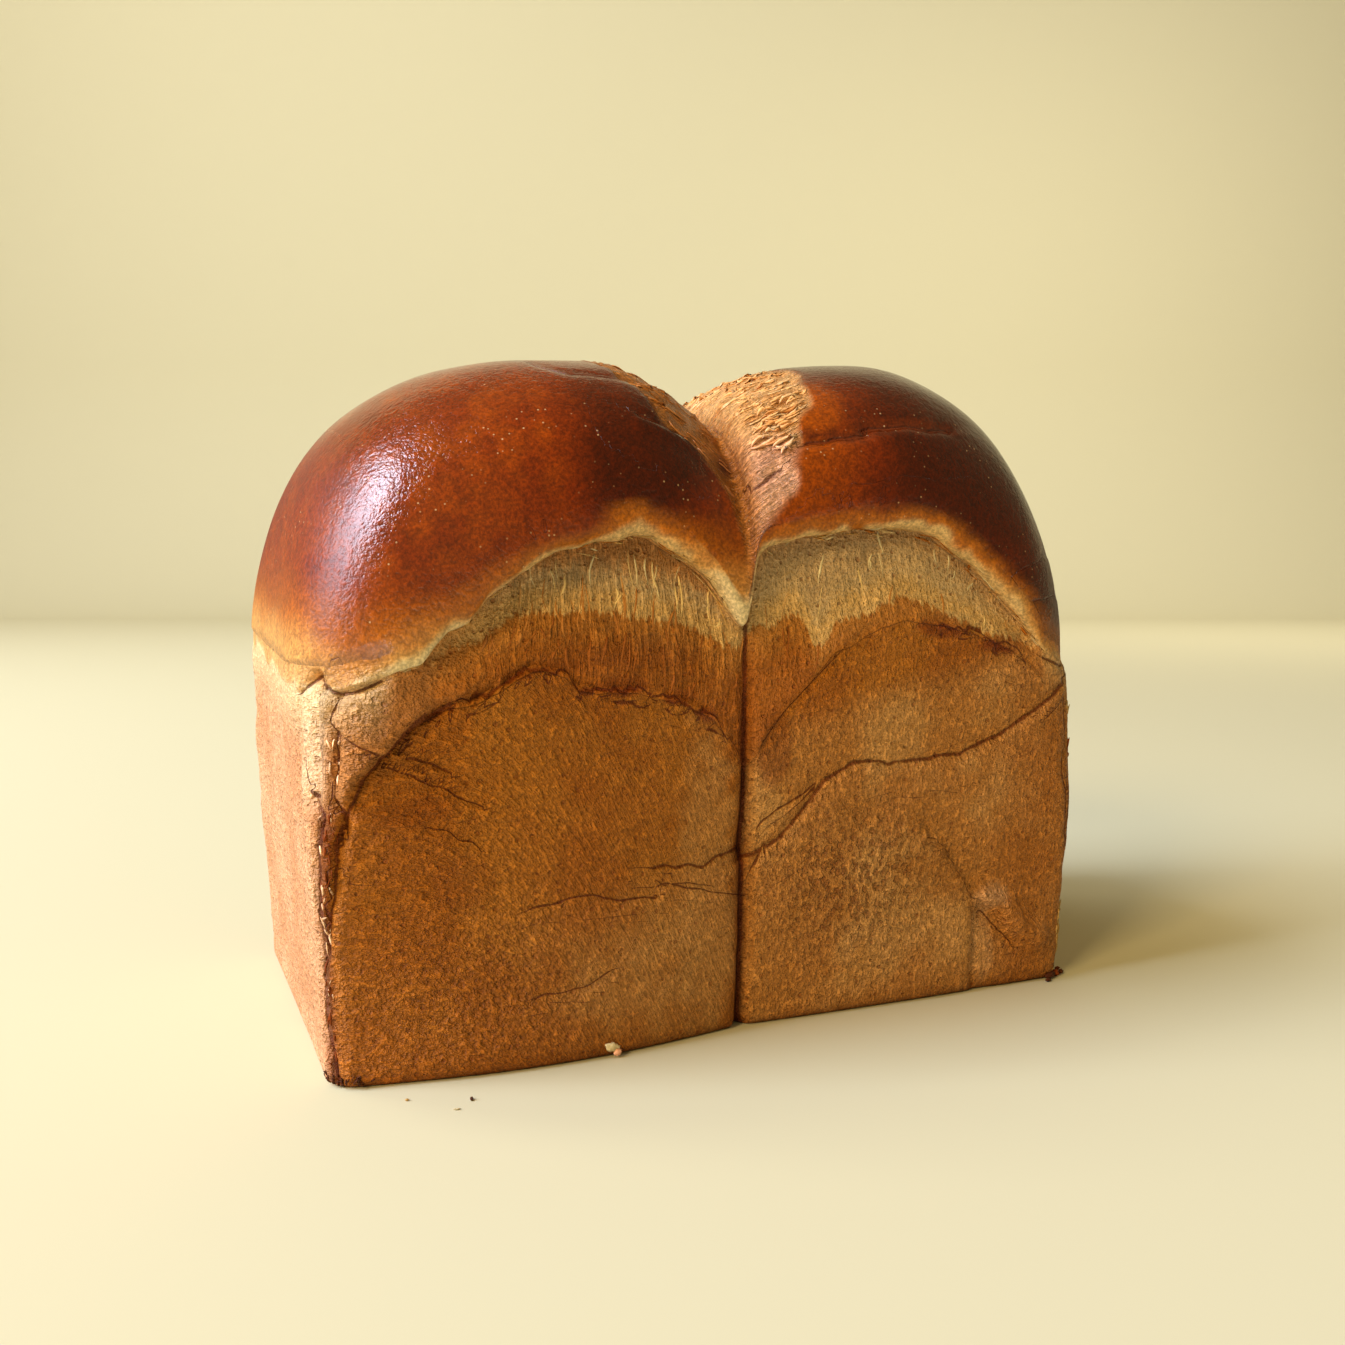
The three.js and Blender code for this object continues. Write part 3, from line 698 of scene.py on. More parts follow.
def wallColour(x, z, f, blotch, small):
    # blotched brown, rosier low on the right lobe, pale on the ends partly as painted light, browned along
    # the seam, and darker at the foot partly as painted contact shade
    mottled = blotch + 0.35 * small
    wall = tones("wallLight", "wallDark", smooth(-0.7, 0.7, mottled))
    rosy = tones("rosyLight", "rosyDark", smooth(-0.8, 0.6, mottled))
    low = (1 - f["leftward"]) * smooth(66, 56, z - 0.25 * np.abs(x))
    low = low + f["leftward"] * bell(x + 20, 22) * bell(z - 16, 14)
    wall = blended(wall, rosy, np.clip(low, 0, 1))
    wall = over(wall, "wallDark", 0.6 * smooth(56, 72, np.abs(f["side"])))
    # the darker band at the foot is partly browner crust and partly painted contact shade where the wall
    # meets the floor
    wall = over(wall, "wallRed", 0.7 * bell(f["seam"], 1.2) + 0.5 * bell(z - 0.3, 1.6))
    # painted light: the ends' paler tone is partly their own paler crust and partly stands for the lamp's
    # light on the left end
    ends = tones("endLight", "endDark", smooth(-0.9, 0.7, blotch + 0.4 * small))
    wall = blended(wall, ends, smooth(0.35, 0.9, f["end"]))
    wall = patched(wall, wallPatches, f["side"], z, small, 1 - f["end"])
    wall = over(wall, "tan", 0.75 * f["fleshy"])
    wall = over(wall, "pillar", 0.8 * f["pouch"] * smooth(0.3, 0.7, f["end"]))
    return over(wall, "wallRed", 0.7 * f["strip"])


def glazeColour(x, y, z, f, small):
    # deep red-brown, darkest beside the valley, then gold and pale towards the lip. The left lobe's lip hangs
    # down beside the seam, so its pale edge is broader there
    right = 1 - f["leftward"]
    dark = f["leftward"] * (1.1 * bell(x + 21, 13) * bell(z - 120, 15) + 0.3 * bell(x + 32, 20))
    dark = dark + right * smooth(8, 45, x) * 0.8
    dark = dark + 0.35 * softNoise(x / 24, y / 24, z / 20, 111) + 0.2 * softNoise(x / 8, y / 8, z / 8, 112)
    glaze = tones("capRed", "capDark", smooth(0.0, 0.85, dark))
    glaze = over(glaze, "capOrange", smooth(0.1, 0.9, 0.4 - dark + 0.3 * small) * 0.5)
    glaze = over(glaze, "capOrange", 0.8 * right * smooth(30, 10, x + 4 * small) * smooth(143, 132, z))
    # painted shadow: the crack-coloured patches darken the crown under the right lobe's folds
    glaze = patched(glaze, crownPatches, x, z, small, y < 0)
    low = f["rise"] + 2.0 * softNoise(x / 9, y / 9, z / 7, 114) + 1.0 * small
    corner = np.maximum(smooth(50, 80, -x), 0.9 * smooth(-22, -6, x))
    corner = np.where(x < 0, corner, 0.6 * smooth(48, 70, x))
    bySeam = f["leftward"] * smooth(-13, -2, x)
    goldReach = mix(5, 14, corner) + 9 * smooth(76, 88, -x) + 10 * bySeam
    paleReach = mix(1.5, 8, corner) + 8 * smooth(78, 90, -x) + 8 * bySeam
    edge = mix(0.3, 0.8, np.maximum(smooth(45, 60, -x), bySeam))
    glaze = over(glaze, "gold", smooth(1, 0, (low - 1.5) / goldReach))
    glaze = over(glaze, "paleGold", smooth(1, 0, (low - 0.2) / paleReach) * mix(0.9, 0.75, corner))
    return over(glaze, "crumbCream", edge * smooth(2.2, 0.3, low - 5 * bySeam))


def valleyColour(x, y, z, f, blotch):
    # streaked shreds, rosy low down on the right side, where the paler rosy tone is partly painted sheen, and
    # browner on the left one
    streaks = softNoise(f["across"] / 2.4, f["along"], 0, 121)
    sides = tones("flankLight", "flankDark", smooth(-0.1, 0.9, streaks + 0.3 * blotch))
    # painted sheen: the rosy tone low on the right side is made pale for its gloss
    sides = over(sides, "flankRosyAndSheen", 0.75 * (1 - f["leftward"]) * smooth(128, 116, z))
    sides = over(sides, "flankDark", 0.8 * bell(x, 2.2))
    sides = over(sides, "flankLeft", 0.8 * f["leftward"])
    return over(sides, "knot", bell(np.hypot(x - knot["x"], z - knot["z"]), knot["size"]) * (y < 0))


def skinColour(point, f):   # linear colours from where the skin is
    x, y, z = point[..., 0], point[..., 1], point[..., 2]
    blotch = softNoise(x / 17, y / 17, z / 15, 101) + 0.5 * softNoise(x / 6, y / 6, z / 6, 102)
    small = roughNoise(x / 3.5, y / 3.5, z / 3.5, 104)
    top = blended(glazeColour(x, y, z, f, small), valleyColour(x, y, z, f, blotch), f["flank"] ** 1.3)
    return blended(wallColour(x, z, f, blotch, small), top, f["cap"])


# cells of the skin: along and across the loaf, and up the foot, the wall, the torn band and the lip. Crowding
# draws them to the seam, and closing draws them to the tear
loafGrid = {"along": 244, "across": 96, "foot": 4, "wall": 62, "torn": 28, "lip": 10, "crowding": 0.15,
            "closing": 0.11}
keptFields = ["torn", "pale", "crack", "seam", "flank", "cap", "rise", "end", "pitted"]


def places(n, crowding):   # n + 1 places from -1 to 1, closer together in the middle
    t = np.linspace(-1, 1, n + 1)
    return t * (1 - crowding) + crowding * t ** 3


def addPiece(name, points, faces, numbers, colours, grain):
    # a smooth mesh in metres with numbers, a colour and a grain coordinate at each vertex
    mesh = bpy.data.meshes.new(name)
    mesh.from_pydata(points * millimetre, [], faces)

    def keep(key, kind, slot, values):
        values = values.astype(np.float32).ravel()
        mesh.attributes.new(key, kind, "POINT").data.foreach_set(slot, values)
    for key, values in numbers.items():
        keep(key, "FLOAT", "value", values)
    keep("skin", "FLOAT_COLOR", "color", np.hstack([colours, np.ones((len(colours), 1))]))
    keep("grain", "FLOAT_VECTOR", "vector", grain)
    mesh.polygons.foreach_set("use_smooth", np.ones(len(mesh.polygons), bool))
    mesh.update()
    piece = bpy.data.objects.new(name, mesh)
    bpy.context.scene.collection.objects.link(piece)
    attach(piece, "root")
    return piece


def quads(a, b, c, d):   # four-sided faces from arrays of their corners
    return np.stack([a, b, c, d], -1).reshape(-1, 4).tolist()


def buildLoaf():
    # a closed skin: rings of points up the wall, a square grid over the cap whose edge is the last ring, and
    # a fan for the foot
    nu, nv = loafGrid["along"], loafGrid["across"]
    us, vs = places(nu, loafGrid["crowding"]), places(nv, 0)
    i = np.concatenate([np.arange(nu), np.full(nv, nu), np.arange(nu, 0, -1), np.zeros(nv, int)])
    j = np.concatenate([np.zeros(nu, int), np.arange(nv), np.full(nu, nv), np.arange(nv, 0, -1)])
    around = len(i)
    rows = loafGrid["foot"] + loafGrid["wall"] + loafGrid["torn"] + loafGrid["lip"]
    wallPoints, wallFields = wallSurface(us[i][None, :], vs[j][None, :], np.arange(rows + 1.0)[:, None])
    capPoints, capFields = capSurface(*np.meshgrid(us[1:-1], vs[1:-1], indexing="ij"))
    points = np.vstack([wallPoints.reshape(-1, 3), capPoints.reshape(-1, 3), [[0, 0, 0]]])

    ring = np.arange(around)
    nextRing = np.roll(ring, -1)
    rowStart = around * np.arange(rows)[:, None]
    cap = np.zeros((nu + 1, nv + 1), int)
    cap[i, j] = around * rows + ring
    cap[1:-1, 1:-1] = around * (rows + 1) + np.arange((nu - 1) * (nv - 1)).reshape(nu - 1, nv - 1)
    above = rowStart + around
    faces = quads(rowStart + ring, rowStart + nextRing, above + nextRing, above + ring)
    faces += quads(cap[:-1, :-1], cap[1:, :-1], cap[1:, 1:], cap[:-1, 1:])
    faces += np.stack([np.full(around, len(points) - 1), nextRing, ring], -1).tolist()

    def both(name):   # a field of the wall and of the cap, and 0 at the foot's middle
        wall = wallFields[name] + np.zeros(wallPoints.shape[:2])
        return np.concatenate([wall.ravel(), capFields[name].ravel(), [0.0]])

    numbers = {name: both(name) for name in keptFields}
    colours = np.vstack([skinColour(wallPoints, wallFields).reshape(-1, 3),
                         skinColour(capPoints, capFields).reshape(-1, 3), [tint("wallDark")]])
    grain = np.stack([both("across"), both("along"), np.zeros(len(points))], -1)
    return addPiece("brioche", points, faces, numbers, colours, grain)


# shreds that stand off the skin
shredRoot = 0.12   # how deep a sliver's base stands in the skin
# how many slivers are tried, the steps along each, and the ranges of half width, height and lift
slivers = {
    "band": {"count": 240, "steps": 9, "width": (0.15, 0.5), "height": (0.02, 0.1), "lift": (0.0, 0.35)},
    "lip": {"count": 130, "steps": 8, "width": (0.12, 0.4), "height": (0.05, 0.22), "lift": (0.0, 0.8)},
    "valley": {"count": 3000, "steps": 7, "width": (0.2, 0.65), "height": (0.04, 0.16), "lift": (0.0, 0.35)},
    "corner": {"steps": 6, "width": (0.1, 0.32), "height": (0.08, 0.3), "lift": (0.0, 0.7)},
}


def shredMesh(path, sideways, outward, width, height):
    # closed tapering slivers: a triangle carried along each path, its base in the skin and its third corner
    # out; path, sideways and outward are (slivers, steps, 3), width and height (slivers, steps)
    n, k = width.shape
    aside, root = sideways * width[..., None], outward * shredRoot
    corners = np.stack([path - aside - root, path + aside - root, path + outward * height[..., None]], 2)
    index = np.arange(n * k * 3).reshape(n, k, 3)
    a, b = index[:, :-1], index[:, 1:]
    faces = quads(a, np.roll(a, -1, 2), np.roll(b, -1, 2), b)
    return corners.reshape(-1, 3), faces + index[:, 0, ::-1].tolist() + index[:, -1].tolist()


def unit(a):
    return a / np.maximum(np.linalg.norm(a, axis=-1, keepdims=True), 1e-9)


def layShreds(name, surface, a, b, spec, colouring, rng):
    # slivers that follow surface(a, b) along rows of (a, b), of random width and height, lifted at random
    step = 0.002
    point, f = surface(a, b)
    da = surface(a + step, b)[0] - surface(a - step, b)[0]
    along = unit(np.gradient(point, axis=1))
    outward = unit(np.cross(da, along))
    outward = outward * np.where((outward * (point - [0, 0, 60])).sum(-1, keepdims=True) < 0, -1, 1)
    sideways = np.cross(along, outward)
    n, k = a.shape
    s = np.linspace(0, 1, k)[None, :]
    taper = np.sin(np.pi * np.clip(s * 0.94 + 0.03, 0, 1)) ** 0.6
    width = rng.uniform(*spec["width"], (n, 1)) * taper
    height = rng.uniform(*spec["height"], (n, 1)) * taper + 0.02
    lift = rng.uniform(*spec["lift"], (n, 1)) * s ** 2 * rng.choice([0.3, 1.0], (n, 1), p=[0.6, 0.4])
    points, faces = shredMesh(point + outward * lift[..., None], sideways, outward, width, height)
    tone = rng.uniform(-1, 1, (n, 1)) + 0.3 * (s - 0.5)
    colours = np.repeat(colouring(point, f, tone).reshape(-1, 3), 3, axis=0)
    strand, up = rng.uniform(0, 90, (n, 1)) + 0 * s, s * 2 + 0 * a
    grain = np.stack([np.repeat(strand.ravel(), 3), np.repeat(up.ravel(), 3), np.zeros(n * k * 3)], -1)
    return addPiece(name, points, faces, {}, colours, grain)


def longSide(v):   # the wall's surface along one long side: v is -1 for the front and 1 for the back
    return lambda a, b: wallSurface(a, np.full(a.shape, v), b)


def bandColour(point, f, tone):
    # brown at the root of the torn band and pale crumb above the ragged border
    pale = np.broadcast_to(f["pale"][:, :1], f["pale"].shape) + 1.6 * tone
    colour = tones("shredDeep", "shred", smooth(-8, -2, pale))
    colour = over(colour, "crumbGold", smooth(-1.0, 1.0, pale))
    colour = over(colour, "crumb", smooth(2, 6, pale))
    colour = over(colour, "tan", f["fleshy"])
    return colour * (1 + 0.1 * tone[..., None])


def bandShreds(name, v, seed):
    # slivers up the torn band of one long side, fewer on the right lobe
    rng = np.random.default_rng(seed)
    spec = slivers["band"]
    count = spec["count"]
    start = rng.uniform(-0.9, 0.9, (count, 1))
    base = loafGrid["foot"] + loafGrid["wall"]
    low = rng.uniform(-0.02, 0.75, (count, 1))
    length = rng.uniform(0.08, 0.34, (count, 1))
    s = np.linspace(0, 1, spec["steps"])[None, :]
    row = base + loafGrid["torn"] * np.clip(low + length * s, 0, 0.97)
    drift = rng.normal(0.006, 0.01, (count, 1)) * s + 0.005 * np.sin(3.5 * s + rng.uniform(0, 6, (count, 1)))
    place = start[:, 0] * -v   # from the left end to the right one, as seen from outside
    keep = (np.abs(place) > 0.012) & (place > -0.7)
    keep &= (place < 0) | (rng.uniform(0, 1, count) < 0.3)
    return layShreds(name, longSide(v), (start + drift)[keep], row[keep], spec, bandColour, rng)


def edgeColour(point, f, tone):
    return over(tones("paleGold", "crumbCream", smooth(-0.2, 1.0, tone)), "gold", smooth(0.2, 1.0, -tone))


def lipFlakes(name, v, seed):
    # thin slivers along the lip of one long side, where the crown's skin tore off
    rng = np.random.default_rng(seed)
    spec = slivers["lip"]
    count = spec["count"]
    start = rng.uniform(-0.86, 0.86, (count, 1))
    edge = loafGrid["foot"] + loafGrid["wall"] + loafGrid["torn"]
    s = np.linspace(0, 1, spec["steps"])[None, :]
    a = start + rng.uniform(0.015, 0.06, (count, 1)) * s
    row = edge + rng.uniform(-1.5, 2.5, (count, 1)) + rng.normal(0, 1.2, (count, 1)) * s
    keep = (a.min(1) * a.max(1) > 0) & (np.abs(a).min(1) > 0.02)
    return layShreds(name, longSide(v), a[keep], row[keep], spec, edgeColour, rng)


def flankColour(point, f, tone):
    # light, with rosy ones low down whose paleness is partly painted sheen, dark and cream ones, and browner
    # ones on the left
    x, lower = point[..., 0], smooth(128, 118, point[..., 2])
    colour = tones("flankLight", "flankRosyAndSheen", 0.8 * lower)
    colour = over(colour, "flankDark", smooth(0.3, 1.1, -tone) * mix(0.8, 0.5, lower))
    colour = over(colour, "crumbCream", 0.6 * smooth(0.2, 1.1, tone) * (x > 3))
    colour = over(colour, "flankLeft", 0.8 * (x < 2))
    return over(colour, "capOrange", 0.8 * (1 - f["flank"]))


def valleyPath(x, y, length, k):
    # steps over the crown along its grain, away from the seam: the height less the depth grows by the flank's
    # slope times the way from the seam
    away, side = np.sign(x), np.where(y < 0, 1.0, -1.0)
    nudge = 0.1
    xs, ys = [x], [y]
    for _ in range(k - 1):
        z = crownHeight(x, y)[0]
        rise = (crownHeight(x + nudge, y)[0] - z) / nudge * away
        back = (crownHeight(x, y + nudge)[0] - z) / nudge
        turn = (flank["slope"] - rise) / (back + side)
        step = length / (k - 1) / np.sqrt(1 + turn ** 2 + (rise + back * turn) ** 2)
        x, y = x + away * step, y + turn * step
        xs.append(x)
        ys.append(y)
    return np.concatenate(xs, 1), np.concatenate(ys, 1)


def valleySkin(a, b):   # the crown over a place in plan, with its relief fading out at the rim
    edge = np.clip(1 - np.maximum(np.abs(a) / rim["x"], np.abs(b) / halfDepth(a)), 0, 1)
    return crownAt(a, b, edge ** 0.4)


def valleyShreds(name, seed):
    # short broad slivers over the torn sides of the valley, pulled away from the seam
    rng = np.random.default_rng(seed)
    spec = slivers["valley"]
    count, k = spec["count"], spec["steps"]
    onRight = rng.uniform(0, 1, (count, 1)) < 0.8
    x = np.where(onRight, rng.uniform(1.5, 34, (count, 1)), -rng.uniform(1, 24, (count, 1)))
    y = np.sin(rng.uniform(-1.35, 1.35, (count, 1))) * (halfDepth(x) - 1)
    share = flankShare(x, crownHeight(x, y)[0])[:, 0]
    px, py = valleyPath(x, y, rng.uniform(2.2, 7, (count, 1)), k)
    bend = rng.normal(0, 0.5, (count, 1)) * np.linspace(-1, 1, k)[None, :] ** 2
    keep = (share > rng.uniform(0.25, 0.9, count)) & (np.abs(py).max(1) < halfDepth(x)[:, 0] - 0.5)
    keep &= flankShare(px, crownHeight(px, py)[0])[:, -1] > 0.35
    keep &= rng.uniform(0, 1, count) < 0.35
    return layShreds(name, valleySkin, px[keep], (py + bend)[keep], spec, flankColour, rng)


# torn bits at the corners: which corner, height, how far round it, how many, spread along and round, colour
cornerBits = [
    (-1, -1, 1.2, 2.5, 40, 1.6, 7.0, "foot"), (-1, -1, 38, 0.2, 18, 14, 1.2, "pillar"),
    (-1, -1, 46, 1.6, 14, 8, 1.5, "toast"), (-1, -1, 60, 1.8, 10, 9, 1.0, "pillar"),
    (-1, -1, 14, -0.6, 16, 14, 1.0, "toast"), (1, -1, 10, 0.0, 22, 8, 1.5, "paleGold"),
    (1, -1, 55, 0.3, 7, 2, 1.2, "toast"), (1, -1, 63, 0.0, 9, 3, 1.4, "paleGold"),
    (1, 1, 4, 0.0, 24, 4, 2.5, "foot"), (1, 1, 42, 0.6, 22, 16, 1.4, "toast"),
    (-1, 1, 8, 0.0, 18, 8, 2.0, "toast"),
]
faceHalf = {"long": 86, "end": 48}   # half the way along a long wall and along an end


def cornerFlakes(name, seed):
    # small torn bits that stand off the four upright corners and their feet, each running up the corner
    rng = np.random.default_rng(seed)
    spec = slivers["corner"]
    s = np.linspace(0, 1, spec["steps"])[None, :]
    us, vs, rows, shades = [], [], [], []
    everyRow = np.arange(loafGrid["foot"] + loafGrid["wall"] + 1.0)
    heights = wallSurface(-1.0, -1.0, everyRow)[0][:, 2]
    for sideX, sideY, height, around, count, spreadUp, spreadRound, shade in cornerBits:
        z = np.clip(height + rng.normal(0, spreadUp / 2, (count, 1)), 0.3, 64)
        c = around + rng.normal(0, spreadRound / 2, (count, 1)) + rng.normal(0, 0.5, (count, 1)) * s
        up = rng.uniform(0.8, 2.6, (count, 1)) * np.where(z < 4, 0.5, 1)
        us.append(sideX * (1 - np.maximum(c, 0) / faceHalf["long"]))
        vs.append(sideY * (1 - np.maximum(-c, 0) / faceHalf["end"]))
        rows.append(np.interp(z + up * s, heights, everyRow))
        shades += [tint(shade)] * count
    u, v, row = [np.concatenate(part) for part in (us, vs, rows)]
    named = np.stack(shades)[:, None, :]

    def surface(a, b):
        return wallSurface(a, v, b)

    def colouring(point, f, tone):
        return named * (1 + 0.22 * tone[..., None])
    return layShreds(name, surface, u, row, spec, colouring, rng)


# crumbs on the floor, and a pale flake on the foot of the front wall: x, y, z, half length, half width, half
# height, degrees turned, colour
scatter = {
    "bits": [
        (81.5, -46.4, 0, 1.6, 0.9, 0.8, 20, "foot"), (83.8, -45.2, 0, 1.1, 0.8, 0.7, -30, "toast"),
        (86.2, -44.6, 0, 0.8, 0.5, 0.5, 60, "foot"), (79.4, -48.2, 0, 0.7, 0.5, 0.4, 10, "foot"),
        (87.4, -41.8, 0, 0.6, 0.5, 0.4, 0, "toast"), (-61.7, -60.3, 0, 0.55, 0.3, 0.25, 70, "foot"),
        (-72.6, -55.9, 0, 0.35, 0.25, 0.2, 0, "paleGold"),
        (-65.2, -63.4, 0, 0.6, 0.2, 0.15, -15, "crumbGreyAndLipShade"), (-31, -51.8, 2.3, 1.4, 0.4, 0.95, -12, "crumb"),
        (-29.9, -51.9, 1.3, 0.9, 0.4, 0.7, 25, "flankRosyAndSheen"), (70.5, 55, 0, 0.8, 0.6, 0.5, 40, "toast"),
        (-48, 56.5, 0, 0.6, 0.4, 0.35, 80, "foot"),
    ],
    "rings": 8, "round": 12, "rough": 0.28,
}


def ballMesh(rings, sides):   # points and faces of a ball of the radius 1, made of rings and two poles
    polar = np.pi * np.arange(1, rings)[:, None] / rings
    turn = 2 * np.pi * np.arange(sides) / sides
    ball = np.broadcast_arrays(np.sin(polar) * np.cos(turn), np.sin(polar) * np.sin(turn), np.cos(polar))
    ball = np.vstack([np.stack(ball, -1).reshape(-1, 3), [[0, 0, 1], [0, 0, -1]]])
    ring = np.arange(sides)
    nextRing = np.roll(ring, -1)
    start = sides * np.arange(rings - 2)[:, None]
    last = sides * (rings - 2)
    faces = quads(start + ring, start + sides + ring, start + sides + nextRing, start + nextRing)
    faces += [(len(ball) - 2, a, (a + 1) % sides) for a in range(sides)]
    faces += [(len(ball) - 1, last + (a + 1) % sides, last + a) for a in range(sides)]
    return ball, faces


def crumbs(name):
    # each crumb is a ball with noisy radii, stretched, turned and set down: on the floor when its z is 0
    ball, shape = ballMesh(scatter["rings"], scatter["round"])
    points, faces, colours = [], [], []
    for n, (x, y, z, long, wide, high, degrees, tone) in enumerate(scatter["bits"]):
        bx, by, bz = ball.T
        rough = softNoise(bx * 2.2 + 9 * n, by * 2.2, bz * 2.2, 131)
        rough = rough + softNoise(bx * 5 + 9 * n, by * 5, bz * 5, 132)
        bx, by, bz = ball.T * (1 + scatter["rough"] * rough) * np.array([[long], [wide], [high]])
        if z > 0:   # stuck to the wall: turned within it
            bx, bz = rotate(bx, bz, degrees)
        else:
            bx, by = rotate(bx, by, degrees)
            bz = bz - bz.min()
        points.append(np.stack([bx + x, by + y, bz + z], -1))
        faces += [[i + n * len(ball) for i in face] for face in shape]
        colours.append(np.repeat(tint(tone)[None, :], len(ball), 0))
    points = np.vstack(points)
    return addPiece(name, points, faces, {}, np.vstack(colours), points)


# materials
class Nodes:   # a new material; each method adds one node, or a few, and gives the output socket
    def __init__(self, name):
        self.material = bpy.data.materials.new(name)
        self.material.use_nodes = True
        self.tree = self.material.node_tree
        self.shader = self.tree.nodes["Principled BSDF"]

    def add(self, kind, settings, inputs):   # an input is a number, a colour or another node's socket
        node = self.tree.nodes.new("ShaderNode" + kind)
        for key, value in settings.items():
            setattr(node, key, value)
        for key, value in inputs.items():
            if isinstance(value, bpy.types.NodeSocket):
                self.tree.links.new(value, node.inputs[key])
            else:
                node.inputs[key].default_value = value
        return node

    def feed(self, name, value):   # link a socket to one of the shader's inputs
        self.tree.links.new(value, self.shader.inputs[name])

    def field(self, name, output="Fac"):
        return self.add("Attribute", {"attribute_name": name}, {}).outputs[output]

    def maths(self, operation, a, b=0.0, c=0.0):
        return self.add("Math", {"operation": operation}, {0: a, 1: b, 2: c}).outputs[0]

    def times(self, a, b):
        return self.maths("MULTIPLY", a, b)

    def scaled(self, value, factor, offset):
        return self.maths("MULTIPLY_ADD", value, factor, offset)

    def less(self, a, b):
        return self.maths("SUBTRACT", a, b)

    def between(self, value, low, high, start=0.0, end=1.0):   # cubic step
        return self.add("MapRange", {"interpolation_type": "SMOOTHSTEP"},
                        {"Value": value, "From Min": low, "From Max": high, "To Min": start,
                         "To Max": end}).outputs[0]

    def blend(self, amount, a, b, mode="MIX"):
        a, b = [paint(*bake[c]) if isinstance(c, str) else c for c in (a, b)]
        return self.add("Mix", {"data_type": "RGBA", "blend_type": mode}, {0: amount, 6: a, 7: b}).outputs[2]

    def shaded(self, colour, shade):   # a colour times a number
        grey = self.add("CombineColor", {}, {0: shade, 1: shade, 2: shade}).outputs[0]
        return self.blend(1.0, colour, grey, "MULTIPLY")

    def noise(self, vector, size, detail, rough):   # size in the vector's own unit
        return self.add("TexNoise", {}, {"Vector": vector, "Scale": 1 / size, "Detail": detail,
                                         "Roughness": rough}).outputs[0]

    def here(self):   # object coordinates in millimetres
        place = self.add("TexCoord", {}, {}).outputs["Object"]
        return self.add("VectorMath", {"operation": "SCALE"}, {0: place, "Scale": 1 / millimetre}).outputs[0]

    def bump(self, height):   # height in millimetres
        bump = self.add("Bump", {}, {"Strength": 1.0, "Distance": millimetre, "Height": height})
        self.feed("Normal", bump.outputs[0])


def holeDistance(n, x, z, fine, middle):   # distance to the nearest of the holes scattered over the wall
    holeX = n.scaled(x, 0.62, n.times(middle, 2.0))
    holeZ = n.scaled(z, 0.42, n.times(fine, 0.8))
    onWall = n.add("CombineXYZ", {}, {0: holeX, 1: holeZ}).outputs[0]
    return n.add("TexVoronoi", {"feature": "F1", "voronoi_dimensions": "2D"},
                 {"Vector": onWall, "Scale": 1.0}).outputs["Distance"]


def bandTone(n, x, rise, fibre):
    # torn band: brown shreds, a ragged border, gold and then pale crumb; towards the lip painted shade makes
    # it greyer and browner, darkest right under the lip
    level = n.maths("ADD", n.field("pale"), n.scaled(fibre, 7.0, -3.5))
    band = n.blend(n.between(level, -9, -1), "shredDeep", "shred")
    band = n.blend(n.between(level, -0.5, 0.5), band, "crumbGold")
    band = n.blend(n.between(level, 2.5, 7.0), band, "crumb")
    # painted shade: the crumb near the lip is greyer and browner, as if in the lip's shadow
    shaded = n.blend(n.between(x, -6, 6), "crumbBrownAndLipShade", "crumbGreyAndLipShade")
    band = n.blend(n.between(level, 6.0, 12.0), band, shaded)
    # painted shade: shred brown right under the lip stands for the shade the lip casts
    return n.blend(n.between(rise, -4.5, -0.5, 0.0, 0.3), band, "shred")


def roughShare(n, x, tornPart, valley, plain):
    # where fibres show: on torn and plain skin, less on the right lobe's band and the ends, and not where the
    # fibres change their direction
    settled = n.between(n.maths("ABSOLUTE", n.scaled(tornPart, 2.0, -1.0)), 0.5, 0.95)
    rough = n.maths("MAXIMUM", n.maths("MAXIMUM", tornPart, valley), n.times(plain, 0.9))
    calm = n.times(tornPart, n.between(x, -3, 3, 0.0, 0.55))
    calm = n.maths("MAXIMUM", calm, n.times(n.field("end"), n.times(plain, 0.6)))
    return n.times(rough, n.times(settled, n.less(1.0, calm)))


def crustGloss(n, x, cap, valley, rise, fine):
    # glossy crown, duller in the valley, on the ends and at the lip
    glossy = n.times(cap, n.scaled(valley, -0.3, 1.0))
    glossy = n.times(glossy, n.scaled(n.field("end"), -0.85, 1.0))
    glossy = n.times(glossy, n.between(rise, 1, 9, 0.3, 1))
    n.feed("Roughness", n.scaled(fine, 0.06, n.scaled(glossy, -0.46, 0.58)))
    shine = n.times(glossy, n.between(x, -68, -32, 0.75, 0.2))
    n.feed("Specular IOR Level", n.maths("ADD", shine, 0.25))
    n.shader.inputs["Specular Tint"].default_value = (1.0, 0.9, 0.86, 1.0)


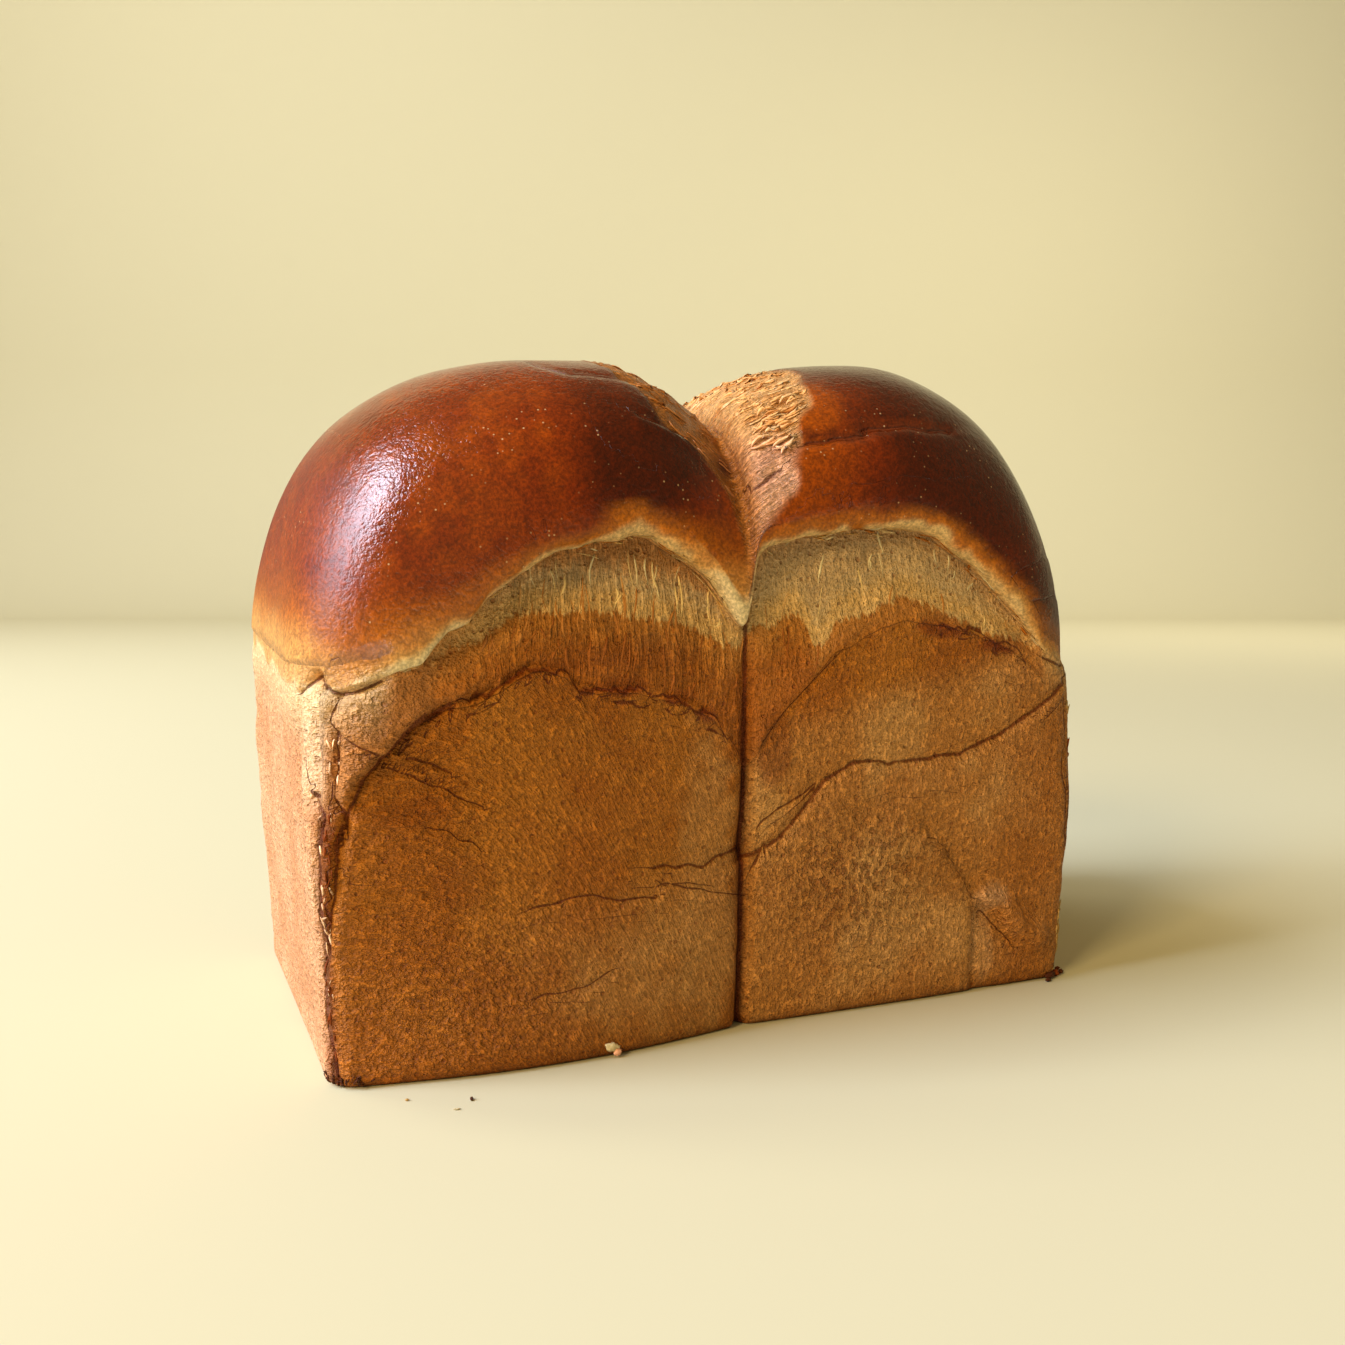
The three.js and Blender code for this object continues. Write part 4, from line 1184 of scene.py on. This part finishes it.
def makeCrust():
    n = Nodes("crust")
    here = n.here()
    fine = n.noise(here, 0.62, 2, 0.6)
    middle = n.noise(here, 1.5, 2, 0.6)
    fibre = n.noise(n.field("grain", "Vector"), 1.2, 3.0, 0.66)
    cell = n.add("TexVoronoi", {"feature": "F1"}, {"Vector": here, "Scale": 1 / 1.7}).outputs["Distance"]
    broad = n.noise(here, 13, 1, 0.5)
    x, _, z = n.add("SeparateXYZ", {}, {0: here}).outputs
    hole = holeDistance(n, x, z, fine, middle)
    cap, valley, rise, seamAway = [n.field(name) for name in ("cap", "flank", "rise", "seam")]
    plain = n.less(1.0, cap)
    tornPart = n.field("torn")
    band = bandTone(n, x, rise, fibre)
    skinTone = n.field("skin", "Color")
    colour = n.blend(tornPart, skinTone, n.blend(0.62, skinTone, band))

    # mottling, fibres with creases between them, pores and pits; the mottling, the fibres' streaks and the
    # creases are darker in the bump's hollows, partly painted shade of the relief
    pore = n.times(n.between(cell, 0.16, 0.38, 1, 0), n.between(middle, 0.5, 0.6, 0, 1))
    pore = n.times(pore, plain)
    pit = n.times(n.between(hole, 0.2, 0.42, 1, 0), n.field("pitted"))
    flecks = n.times(n.between(fine, 0.34, 0.66, -1, 1), n.scaled(cap, 0.1, 0.15))
    mottleAndShade = n.times(n.maths("ADD", flecks, 1.0), n.between(middle, 0.34, 0.66, 0.84, 1.16))
    streakAndShade = n.between(fibre, 0.34, 0.66, 0.8, 1.2)
    rough = roughShare(n, x, tornPart, valley, plain)
    # painted shade: the colour is darkened along the creases
    crease = n.between(n.maths("ABSOLUTE", n.less(fibre, 0.47)), 0.0, 0.05, 1, 0)
    crease = n.times(crease, n.times(rough, n.between(middle, 0.42, 0.58)))
    shade = n.times(mottleAndShade, n.maths("ADD", n.times(n.less(streakAndShade, 1.0), rough), 1.0))
    shade = n.times(shade, n.scaled(crease, -0.28, 1.0))
    colour = n.shaded(colour, shade)
    colour = n.blend(n.maths("MAXIMUM", n.times(pore, 0.5), n.times(pit, 0.45)), colour, "toast")

    # browned lines, the seam's groove, and pale specks in clusters that are partly painted glints
    width = n.scaled(middle, 0.9, -0.12)
    line = n.between(n.less(n.maths("ABSOLUTE", n.field("crack")), width), -0.2, 0.3, 0.8, 0)
    colour = n.blend(line, colour, "crack")
    groove = n.between(n.less(seamAway, n.times(middle, 0.8)), -0.1, 0.4, 0.8, 0)
    colour = n.blend(n.times(groove, n.scaled(cap, -0.6, 1.0)), colour, "crack")
    # pale specks on the cap, partly painted glints
    speck = n.times(n.between(cell, 0.05, 0.16, 1, 0), n.times(cap, 0.7))
    colour = n.blend(n.times(speck, n.between(broad, 0.5, 0.62)), colour, "speckAndGlint")
    n.feed("Base Color", colour)
    crustGloss(n, x, cap, valley, rise, fine)

    # each noise goes in less its mean, so that a change of its strength makes no step in the bump
    height = n.times(n.less(fine, 0.5), n.scaled(cap, -0.5, 0.62))
    height = n.maths("MULTIPLY_ADD", n.less(middle, 0.5), n.scaled(cap, -1.4, 1.6), height)
    height = n.maths("MULTIPLY_ADD", n.less(fibre, 0.5), n.times(rough, 2.8), height)
    for dip, depth in ((crease, 0.25), (pore, 0.7), (pit, 1.6), (line, 0.6)):
        height = n.scaled(dip, -depth, height)
    n.bump(height)
    return n.material


def makeShredded(name, roughness, sheen):
    # torn slivers and crumbs: their own colours, mottled
    n = Nodes(name)
    fine = n.noise(n.here(), 0.8, 3, 0.6)
    n.feed("Base Color", n.shaded(n.field("skin", "Color"), n.between(fine, 0.3, 0.7, 1.15, 0.82)))
    n.feed("Roughness", n.scaled(fine, 0.2, roughness - 0.1))
    n.shader.inputs["Specular IOR Level"].default_value = sheen
    n.bump(n.times(fine, 0.15))
    return n.material


brioche = buildLoaf()
brioche.data.materials.append(makeCrust())
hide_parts("loaf")
print("loaf made:", len(brioche.data.polygons), "faces")

dry, glazed = makeShredded("pulled crumb", 0.75, 0.3), makeShredded("valley crumb", 0.42, 0.5)
front, backSide = -1.0, 1.0
for piece, finish in ((bandShreds("pulledCrumbFront", front, 5), dry),
                      (bandShreds("pulledCrumbBack", backSide, 6), dry),
                      (lipFlakes("lipFlakesFront", front, 8), dry),
                      (lipFlakes("lipFlakesBack", backSide, 9), dry),
                      (valleyShreds("valleyShreds", 7), glazed), (cornerFlakes("cornerFlakes", 10), dry),
                      (crumbs("crumbs"), dry)):
    piece.data.materials.append(finish)
print("shreds made")
